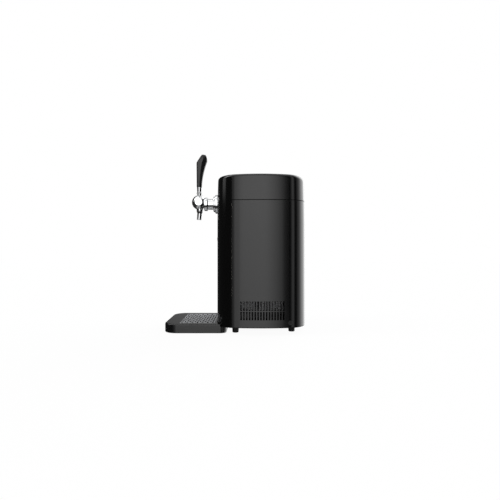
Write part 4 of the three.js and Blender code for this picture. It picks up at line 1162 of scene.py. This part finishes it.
def faucet_body():
    """Ball-shaped body with flat round cheeks, neck, spout boss and the slot for the lever."""
    ball = (BALL_Y, BALL_Z)
    body = ball_solid()
    cheeks = slab("tool", both(BALL_FLAT), around(BALL_Y, FAR), around(BALL_Z, FAR))
    cut(body, cheeks, keep="INTERSECT")
    join(body, spout_boss(), rod("tool", "y", SHANK_RADIUS, BALL_Y, COLLAR_YS[1], (0, TAP_Z)))
    collar_radii = (SHANK_RADIUS, COLLAR_RADIUS + 0.5)
    collar_room = pipe("y", collar_radii, COLLAR_YS[0] - GAP, COLLAR_YS[1] + PAST, (0, TAP_Z))
    grooves = [pipe("x", CHEEK_GROOVE, *around(face, GROOVE_DEPTH), ball) for face in both(BALL_FLAT)]
    cut(body, collar_room, *grooves, stem_room())
    cut(body, rod("tool", "x", HUB_ROOM, *both(HUB_HALF + GAP), ball))
    cut(body, rod("tool", "y", BODY_BORE, BALL_Y, COLLAR_YS[1] + 2 * PAST, (0, TAP_Z), 32))
    below = SPOUT_BEND - 2 * PAST
    cut(body, rod("tool", "z", SPOUT_BORE, below, BALL_Z, (0, SPOUT_Y), 32))
    cut(body, rod("tool", "z", SPOUT_SEAT + GAP, below, SPOUT_TOP + GAP, (0, SPOUT_Y)))
    soften(body, 0.35)
    cut(body, rod("tool", "x", PIN_BORE, *both(BALL_RADIUS), ball, 48))
    return soften(body, 0, flat_axis=0)


def lever_pin():
    tip = [(PIN_RADIUS - 0.15, BALL_FLAT), (PIN_RADIUS, BALL_FLAT - 0.15)]
    profile = [(radius, -along) for radius, along in tip] + list(reversed(tip))
    return soften(turned("pivot_pin", profile, "x", (BALL_Y, BALL_Z), 48), 0)


def faucet_spout():
    """Bent spout: a flared seat under the ball and a tube leaning forward, with a rolled rim."""
    tip = SPOUT_BOTTOM - SPOUT_BEND
    rim = SPOUT_RADIUS + 0.4
    flare = [(9.4, 0), (9.8, -0.6), (9.2, -2.4), (7.6, -5.6), (7.2, -7.5)]
    end = [(SPOUT_RADIUS, tip + 2.2), (rim, tip + 1.6), (rim, tip + 0.4), (SPOUT_RADIUS, tip)]
    mouth = [(SPOUT_BORE + 0.7, tip), (SPOUT_BORE, tip + 0.8)]
    profile = [(SPOUT_BORE, 0), *flare, *end, *mouth, (SPOUT_BORE, 0)]
    spout = turned("tap_spout", profile, "z", (0, 0), 96)
    bend = Matrix.Translation((0, SPOUT_Y, SPOUT_BEND)) @ Matrix.Rotation(-SPOUT_LEAN, 4, "X")
    spout.data.transform(bend)
    seat_bottom = SPOUT_BEND - 1
    seat = [(SPOUT_BORE, seat_bottom), (SPOUT_SEAT, seat_bottom), (SPOUT_SEAT, SPOUT_TOP - 0.6),
            (SPOUT_SEAT - 0.6, SPOUT_TOP), (SPOUT_BORE, SPOUT_TOP), (SPOUT_BORE, seat_bottom)]
    join(spout, turned("tool", seat, "z", (0, SPOUT_Y), 96))
    return soften(spout, 0, angle=40)


def tap_lever():
    """Lever: pivot hub, turned stem with a threaded end, and the finger that moves the plunger."""
    shoulder = 7.4
    thread_radius = 3.5
    top = HANDLE_BOTTOM - GAP
    finger_z = BALL_Z - 6
    neck = [(STEM_RADIUS, BALL_Z), (STEM_RADIUS, FERRULE_BOTTOM + 6), (6.3, 419.4), (6.8, 423), (7, 429),
            (shoulder, top - 1.6), (shoulder, top)]
    thread = [(thread_radius + 0.5 * (step % 2), top + 0.6 + 1.2 * step) for step in range(18)]
    lever = turned("lever_arm", [*neck, (thread_radius + 0.5, top), *thread], "z", (0, BALL_Y), 48)
    hub = rod("tool", "x", HUB_RADIUS, *both(HUB_HALF), (BALL_Y, BALL_Z))
    finger = slab("tool", both(3), around(BALL_Y, 2.5), (finger_z, BALL_Z))
    tip = rod("tool", "x", 2.5, *both(3), (BALL_Y, finger_z), 32)
    join(lever, hub, finger, tip)
    cut(lever, rod("tool", "x", LEVER_BORE, *both(BALL_RADIUS), (BALL_Y, BALL_Z), 32))
    return soften(lever, 0.15)


def tap_ferrule():
    """Loose ring round the stem with two rounded beads."""
    bottom = FERRULE_BOTTOM
    bore = STEM_RADIUS + GAP
    large, small = 1.3, 1.2
    profile = [(bore, bottom + 0.3), (bore + 0.8, bottom),
               *arc((bore + 0.5, bottom + large), large, -60, 60), (bore + 0.3, bottom + 3.2),
               *arc((bore + 0.2, bottom + 5.8 - small), small, -60, 90), (bore, bottom + 5.8),
               (bore, bottom + 0.3)]
    return soften(turned("lever_ferrule", profile, "z", (0, BALL_Y), 96), 0, angle=40)


def handle_section(z):
    """Front, crease and back Y and the half width of the handle at height z."""
    flare = min(1.0, max(0.0, (z - HANDLE_BOTTOM) / (HANDLE_BULGE_Z - HANDLE_BOTTOM)))
    front = HANDLE_FRONT
    if z > HANDLE_SHOULDER:
        front += (HANDLE_PEAK[0] - HANDLE_FRONT) * (z - HANDLE_SHOULDER) / (HANDLE_TOP - HANDLE_SHOULDER)
    back = (1 - flare) ** 2 * HANDLE_BASE_BACK + 2 * flare * (1 - flare) * HANDLE_WAIST
    back += flare**2 * HANDLE_BULGE
    if z > HANDLE_BULGE_Z:
        rise = (z - HANDLE_BULGE_Z) / (HANDLE_TOP - HANDLE_BULGE_Z)
        back += (HANDLE_PEAK[1] - HANDLE_BULGE) * (1 - math.sqrt(max(0.0, 1 - rise**2)))
    crease = front + (back - front) * (0.6 - 0.04 * flare)
    top_in = max(0.0, (z - HANDLE_SHOULDER) / (HANDLE_TOP - HANDLE_SHOULDER))
    narrow, wide = HANDLE_HALVES
    half = (narrow + (wide - narrow) * flare) * (1 - 0.45 * top_in**2)
    return front, crease, back, half


def handle_ring(z, shrink=0.0):
    """Outline of the handle at height z, moved in by `shrink`."""
    front, crease, back, half = handle_section(z)
    front, back, half = front + shrink, back - shrink, half - shrink
    nose = min(4.0, (crease - front) / 2)
    side = arc((half - nose, front + nose), nose, -90, -10, 4)
    side += [(half - 0.1, crease - 1.5), (half, crease), (half - 0.5, crease + 1)]
    tail = max(2.5, half - (back - crease) * HANDLE_FACET)
    side += [(half + (tail - half) * share, crease + (back - 1.5 - crease) * share)
             for share in (0.35, 0.65, 0.9)]
    side += [(tail, back - 1), (tail - 0.6, back - 0.2), (tail - 1.4, back)]
    mirrored = [(-x, y) for x, y in reversed(side)]
    return [(x, y, z) for x, y in side + mirrored]


def tap_handle():
    """Paddle handle: straight front, a soft crease down each side, the back flaring out upwards."""
    heights = even_steps(HANDLE_BOTTOM + 1, HANDLE_TOP - 2, 34)
    rings = [handle_ring(HANDLE_BOTTOM, 1), handle_ring(HANDLE_BOTTOM + 0.3, 0.3)]
    rings += [handle_ring(z) for z in heights]
    rings += [handle_ring(HANDLE_TOP - 0.6, 0.6), handle_ring(HANDLE_TOP, 2)]
    bm = bmesh.new()
    stack_rings(bm, rings)
    handle = add_object("paddle_handle", bm)
    cut(handle, rod("tool", "z", HANDLE_BORE, HANDLE_BOTTOM - PAST, HANDLE_BORE_TOP, (0, BALL_Y), 48))
    return soften(handle, 0, angle=25)


dress_all({
    "faucet_flange": faucet_flange(),
    "faucet_shank": faucet_shank(),
    "shank_nut": shank_nut(),
    "faucet_collar": faucet_collar(),
    "faucet_body": faucet_body(),
    "lever_pin": lever_pin(),
    "faucet_spout": faucet_spout(),
    "tap_lever": tap_lever(),
    "tap_ferrule": tap_ferrule(),
    "tap_handle": tap_handle(),
})

# ---------------------------------------------------------------- keg fittings


def spread_round(radius, count, offset=0.0):
    """Points evenly spaced on a circle, turned by `offset` of a step."""
    turns = [2 * math.pi / count * (step + offset) for step in range(count)]
    return [(radius * math.cos(turn), radius * math.sin(turn)) for turn in turns]


def keg_coupler():
    """Coupler with a ribbed skirt and a barbed outlet towards the tap."""
    bottom, top = COUPLER_ZS
    neck = 12
    body = [(COUPLER_RADIUS - 1.4, bottom), (COUPLER_RADIUS, bottom + 1), (COUPLER_RADIUS, bottom + 8),
            (COUPLER_RADIUS - 1, bottom + 9), (neck + 1.4, bottom + 9.6), (neck, bottom + 11),
            (neck, top - 1.4), (neck - 1.4, top)]
    coupler = turned("keg_connector", body, "z", (0, CAVITY_Y))
    barbs = [(4.2 + 0.8 * (step % 2), CAVITY_Y - 21 - 1.5 * step) for step in range(7)]
    outlet = [(LEG_RADIUS, CAVITY_Y), (LEG_RADIUS, CAVITY_Y - COUPLER_RADIUS), *barbs]
    join(coupler, turned("tool", outlet, "y", (0, OUTLET_Z), 48))
    grips = [rod("tool", "z", 1.1, bottom - 2, bottom + 8, (x, CAVITY_Y + y), 16)
             for x, y in spread_round(COUPLER_RADIUS, 16, 0.5)]
    cut(coupler, *grips)
    return soften(coupler, 0.3)


def gas_regulator():
    """Brass regulator: round body with a groove, and a leg down to the coupler."""
    start, end = REGULATOR_XS
    rim, groove = REGULATOR_RADIUS, REGULATOR_RADIUS - 0.8
    edge = 1.4
    body = [(rim - edge, start), (rim, start + edge), (rim, start + 12), (groove, start + 12.8),
            (groove, start + 17), (rim, start + 17.8), (rim, end - edge), (rim - edge, end)]
    regulator = turned("pressure_regulator", body, "x", (CAVITY_Y, GAS_Z))
    upright = rod("tool", "z", LEG_RADIUS, LEG_Z - LEG_RADIUS, GAS_Z, (LEG_X, CAVITY_Y), 48)
    nut = LEG_RADIUS + 1.6
    across = [(LEG_RADIUS, LEG_X), (LEG_RADIUS, -20), (nut, -19.6), (nut, -14), (LEG_RADIUS, -13.6),
              (LEG_RADIUS, -12.4)]
    join(regulator, upright, turned("tool", across, "x", (CAVITY_Y, LEG_Z), 48))
    return soften(regulator, 0.3)


def regulator_knob():
    """Knob with grip flutes and a raised pointer across its face."""
    back = REGULATOR_XS[0] - GAP
    dish = KNOB_END + 0.6
    profile = [(3, dish), (7.4, dish), (8, KNOB_END), (8.6, KNOB_END), (KNOB_RADIUS, KNOB_END + 1.5),
               (KNOB_RADIUS, back - 1), (KNOB_RADIUS - 1, back)]
    knob = turned("pressure_knob", profile, "x", (CAVITY_Y, GAS_Z))
    flutes = [rod("tool", "x", 1.3, KNOB_END - PAST, back - 3, (CAVITY_Y + y, GAS_Z + z), 20)
              for y, z in spread_round(KNOB_RADIUS + 0.5, 12)]
    cut(knob, *flutes)
    join(knob, slab("tool", (KNOB_END, KNOB_END + 2), around(CAVITY_Y, 0.9), (GAS_Z, GAS_Z + 7)))
    return soften(knob, 0.25)


def gas_cartridge():
    """Small steel gas bottle: waisted neck, straight side, round end."""
    start, end = BOTTLE_XS
    neck = [(3.4, start), (3.4, -26), (4.2, -24.8), (6.8, -22.6), (9.4, -20.4), (10.6, -18),
            (BOTTLE_RADIUS, -15)]
    dome = [(v, end - BOTTLE_RADIUS + u) for u, v in arc((0, 0), BOTTLE_RADIUS, 90, 15, 5)]
    bottle = turned("gas_bottle", [*neck, *dome, (0.8, end)], "x", (CAVITY_Y, GAS_Z))
    return soften(bottle, 0, angle=50)


def beer_line():
    start = CAVITY_Y - 30 - GAP
    points = [(0, start, OUTLET_Z), (0, start - 30, OUTLET_Z), (0, PART_LINE - WALL, OUTLET_Z - 1),
              (0, -100, TAP_Z + 4), (0, SHANK_YS[1] + GAP, TAP_Z)]
    return hose("beer_hose", points, LINE_RADIUS)


dress_all({
    "keg_coupler": keg_coupler(),
    "gas_regulator": gas_regulator(),
    "regulator_knob": regulator_knob(),
    "gas_cartridge": gas_cartridge(),
    "beer_line": beer_line(),
})

# ---------------------------------------------------------------- drip tray


def tray_outline(inset):
    """Plan of the tray, well rounded in front, moved in by `inset`."""
    near, far = TRAY_CORNERS
    near_x, near_y = TRAY_HALF - near, TRAY_FRONT + near
    far_x, far_y = TRAY_HALF - far, TRAY_BACK - far
    corners = ((near_x, near_y, near, -90), (far_x, far_y, far, 0),
               (-far_x, far_y, far, 90), (-near_x, near_y, near, 180))
    return [point for x, y, radius, turn in corners
            for point in arc((x, y), radius - inset, turn, turn + 90, 16)]


def tray_lump(name, inset, bottom):
    """The tray as one rounded lump, cut back where the cabinet stands over it."""
    top = TRAY_TOP - inset
    levels = [(0.7, bottom), (0.2, bottom + 0.3), (0, bottom + 0.8), (0, top - TRAY_EDGE)]
    levels += [(TRAY_EDGE - u, top - TRAY_EDGE + v) for u, v in arc((0, 0), TRAY_EDGE, 0, 90, 8)[1:]]
    bm = bmesh.new()
    stack_rings(bm, [[(x, y, z) for x, y in tray_outline(inset + more)] for more, z in levels])
    lump = add_object(name, bm)
    return cut(lump, plan_prism("tool", -1 - inset, TONGUE_TOP - inset, BODY_TOP))


def tray_well(shrink, bottom, top, radius=4):
    outline = round_rectangle(both(WELL_HALF - shrink), (WELL_FRONT + shrink, WELL_BACK - shrink), radius)
    return drawn_out("tool", outline, "z", bottom, top)


def drip_tray():
    tray = tray_lump("catch_tray", 0, 0)
    cut(tray, tray_lump("tool", TRAY_WALL, -PAST))
    join(tray, tray_well(-TRAY_WALL, 0, LEDGE_Z, 6))
    cut(tray, tray_well(LEDGE, TRAY_WALL, TRAY_TOP + PAST), tray_well(0, LEDGE_Z, TRAY_TOP + PAST))
    return soften(tray, 0.4)


def slot_outline(x, y):
    radius = SLOT_WIDTH / 2
    reach = SLOT_LENGTH / 2 - radius
    return arc((x + reach, y), radius, -90, 90, 8) + arc((x - reach, y), radius, 90, 270, 8)


def drip_grid():
    """Plate with rows of round-ended slots, every other row shifted by half a pitch."""
    bottom = LEDGE_Z + GAP
    top = bottom + GRID_THICKNESS
    plate = tray_well(GAP, bottom, top)
    plate.name = "drip_plate"
    bm = bmesh.new()
    for row in range(SLOT_ROWS):
        count = SLOT_COLUMNS - row % 2
        y = (WELL_FRONT + WELL_BACK) / 2 + (row - (SLOT_ROWS - 1) / 2) * SLOT_PITCH_Y
        for column in range(count):
            outline = slot_outline((column - (count - 1) / 2) * SLOT_PITCH_X, y)
            stack_rings(bm, [[(u, v, z) for u, v in outline] for z in (bottom - PAST, top + PAST)])
    cut(plate, add_object("tool", bm))
    return soften(plate, 0.35)


dress_all({
    "drip_tray": drip_tray(),
    "drip_grid": drip_grid(),
})

# ---------------------------------------------------------------- studio


def for_camera(tree, seen, unseen):
    """The first shader for the camera and the second for all other rays."""
    path = add_node(tree, "LightPath").outputs["Is Camera Ray"]
    return add_node(tree, "MixShader", {0: path, 1: unseen.outputs[0], 2: seen.outputs[0]}).outputs[0]


def studio_floor():
    """Pale floor for the camera; reflections look through it to the studio's own floor."""
    bm = bmesh.new()
    bmesh.ops.create_grid(bm, x_segments=1, y_segments=1, size=6)
    floor = add_object("studio_floor", bm, closed=False)
    made, tree = new_material("pale floor")
    tree.nodes.clear()
    glow = add_node(tree, "Emission").outputs[0]
    plain = add_node(tree, "BsdfDiffuse", {"Color": (0.9, 0.9, 0.9, 1)}).outputs[0]
    bright = add_node(tree, "MixShader", {0: 0.05, 1: glow, 2: plain})
    add_node(tree, "OutputMaterial", {0: for_camera(tree, bright, add_node(tree, "BsdfTransparent"))})
    floor.data.materials.append(made)


# Brightness of the studio's side walls: degrees from +X towards +Y, and strength.
SIDE_LIGHT = ((-180, 0.34), (-160, 0.12), (-150, 0.03), (-38, 0.03), (-32, 0.28), (-21, 0.62), (-15, 1.15),
              (-12, 1.88), (5, 1.98), (11, 1.4), (15, 0.9), (19, 0.05), (30, 0.02), (38, 0.5), (45, 0.9),
              (51, 0.5), (56, 0.01), (66, 0.02), (74, 0.4), (84, 0.75), (94, 1.7), (105, 3.0), (150, 3.5),
              (165, 0.6), (180, 0.34))
WALL_FALL = (0.8, 1.0)  # share of that strength low down and high up
WALL_FALL_OVER = (-10, 10)
STRONGEST = 4.0
OVERHEAD = 0.9
OVERHEAD_FROM = (42, 62)  # degrees above the horizon over which the overhead light takes over
FLOOR_FROM = (-15, -24)  # degrees over which the side walls give way to the dim floor
FLOOR_GLOW = (0.03, 0.55)  # of the far floor and the near floor
FLOOR_NEAR = (-52, -75)
FRONT_LIGHT_AT = -84  # middle of the light over the front, degrees from +X
FRONT_LIGHT_HALF = 13
FRONT_LIGHT_RISE = ((8, 11, 0.7), (24, 38, 3.5))  # from and to degrees above the horizon, added strength

LENS = 28.15
LENS_SHIFT = -0.0026
CAMERA_AWAY = 1.219  # metres from the middle of the cabinet
CAMERA_AHEAD = 0.031  # towards the tap
CAMERA_UP = 0.242


def math_node(tree, operation, *values):
    return add_node(tree, "Math", dict(enumerate(values)), operation=operation).outputs[0]


def side_walls(tree, turn, height):
    """Brightness of the side walls round the object."""
    ramp = add_node(tree, "ValToRGB", {0: spread(tree, turn, both(math.pi), (0, 1))})
    stops = ramp.color_ramp.elements
    while len(stops) < len(SIDE_LIGHT):
        stops.new(1.0)
    for stop, (degrees, strength) in zip(stops, SIDE_LIGHT):
        stop.position = (degrees + 180) / 360
        stop.color = (*(strength / STRONGEST,) * 3, 1)
    fall = spread(tree, height, sines(*WALL_FALL_OVER), [share * STRONGEST for share in WALL_FALL])
    return math_node(tree, "MULTIPLY", ramp.outputs[0], fall)


def front_light(tree, turn, height):
    """Light over the front, stronger the higher one looks."""
    middle, half = math.radians(FRONT_LIGHT_AT), math.radians(FRONT_LIGHT_HALF)
    off = math_node(tree, "ABSOLUTE", math_node(tree, "SUBTRACT", turn, middle))
    inside = spread(tree, off, (half, half * 0.7), (0, 1))
    steps = [spread(tree, height, sines(*span), (0, strength)) for *span, strength in FRONT_LIGHT_RISE]
    return math_node(tree, "MULTIPLY", inside, math_node(tree, "ADD", *steps))


def blend(tree, share, first, second):
    """(1 - share) * first + share * second, for plain values or outputs."""
    rest = math_node(tree, "SUBTRACT", 1, share)
    parts = [math_node(tree, "MULTIPLY", *pair) for pair in ((rest, first), (share, second))]
    return math_node(tree, "ADD", *parts)


def studio_light():
    """Soft studio: tall light panels round the object, a soft light overhead, white to the camera."""
    world = bpy.data.worlds.new("studio")
    world.use_nodes = True
    bpy.context.scene.world = world
    tree = world.node_tree
    tree.nodes.clear()
    where = add_node(tree, "TexCoord").outputs["Generated"]
    axes = add_node(tree, "SeparateXYZ", {0: where}).outputs
    turn = math_node(tree, "ARCTAN2", axes["Y"], axes["X"])
    height = axes["Z"]
    high = spread(tree, height, sines(*OVERHEAD_FROM), (0, 1))
    low = spread(tree, height, sines(*FLOOR_FROM), (0, 1))
    floor = spread(tree, height, sines(*FLOOR_NEAR), FLOOR_GLOW)
    upper = blend(tree, high, side_walls(tree, turn, height), OVERHEAD)
    total = math_node(tree, "ADD", blend(tree, low, upper, floor), front_light(tree, turn, height))
    white = {"Color": (1, 1, 1, 1)}
    studio = add_node(tree, "Background", {**white, "Strength": total})
    add_node(tree, "OutputWorld", {0: for_camera(tree, add_node(tree, "Background", white), studio)})
    bpy.context.scene.view_settings.view_transform = "Standard"


def side_camera():
    """Looks at the cabinet's right side squarely, a little above the middle of its height."""
    data = bpy.data.cameras.new("side camera")
    data.lens = LENS
    data.sensor_width = 36
    data.shift_y = LENS_SHIFT
    camera = bpy.data.objects.new("side camera", data)
    bpy.context.collection.objects.link(camera)
    camera.location = (CAMERA_AWAY, CABINET_Y * MM - CAMERA_AHEAD, CAMERA_UP)
    camera.rotation_euler = (RIGHT_ANGLE, 0, RIGHT_ANGLE)
    bpy.context.scene.camera = camera


studio_floor()
studio_light()
side_camera()
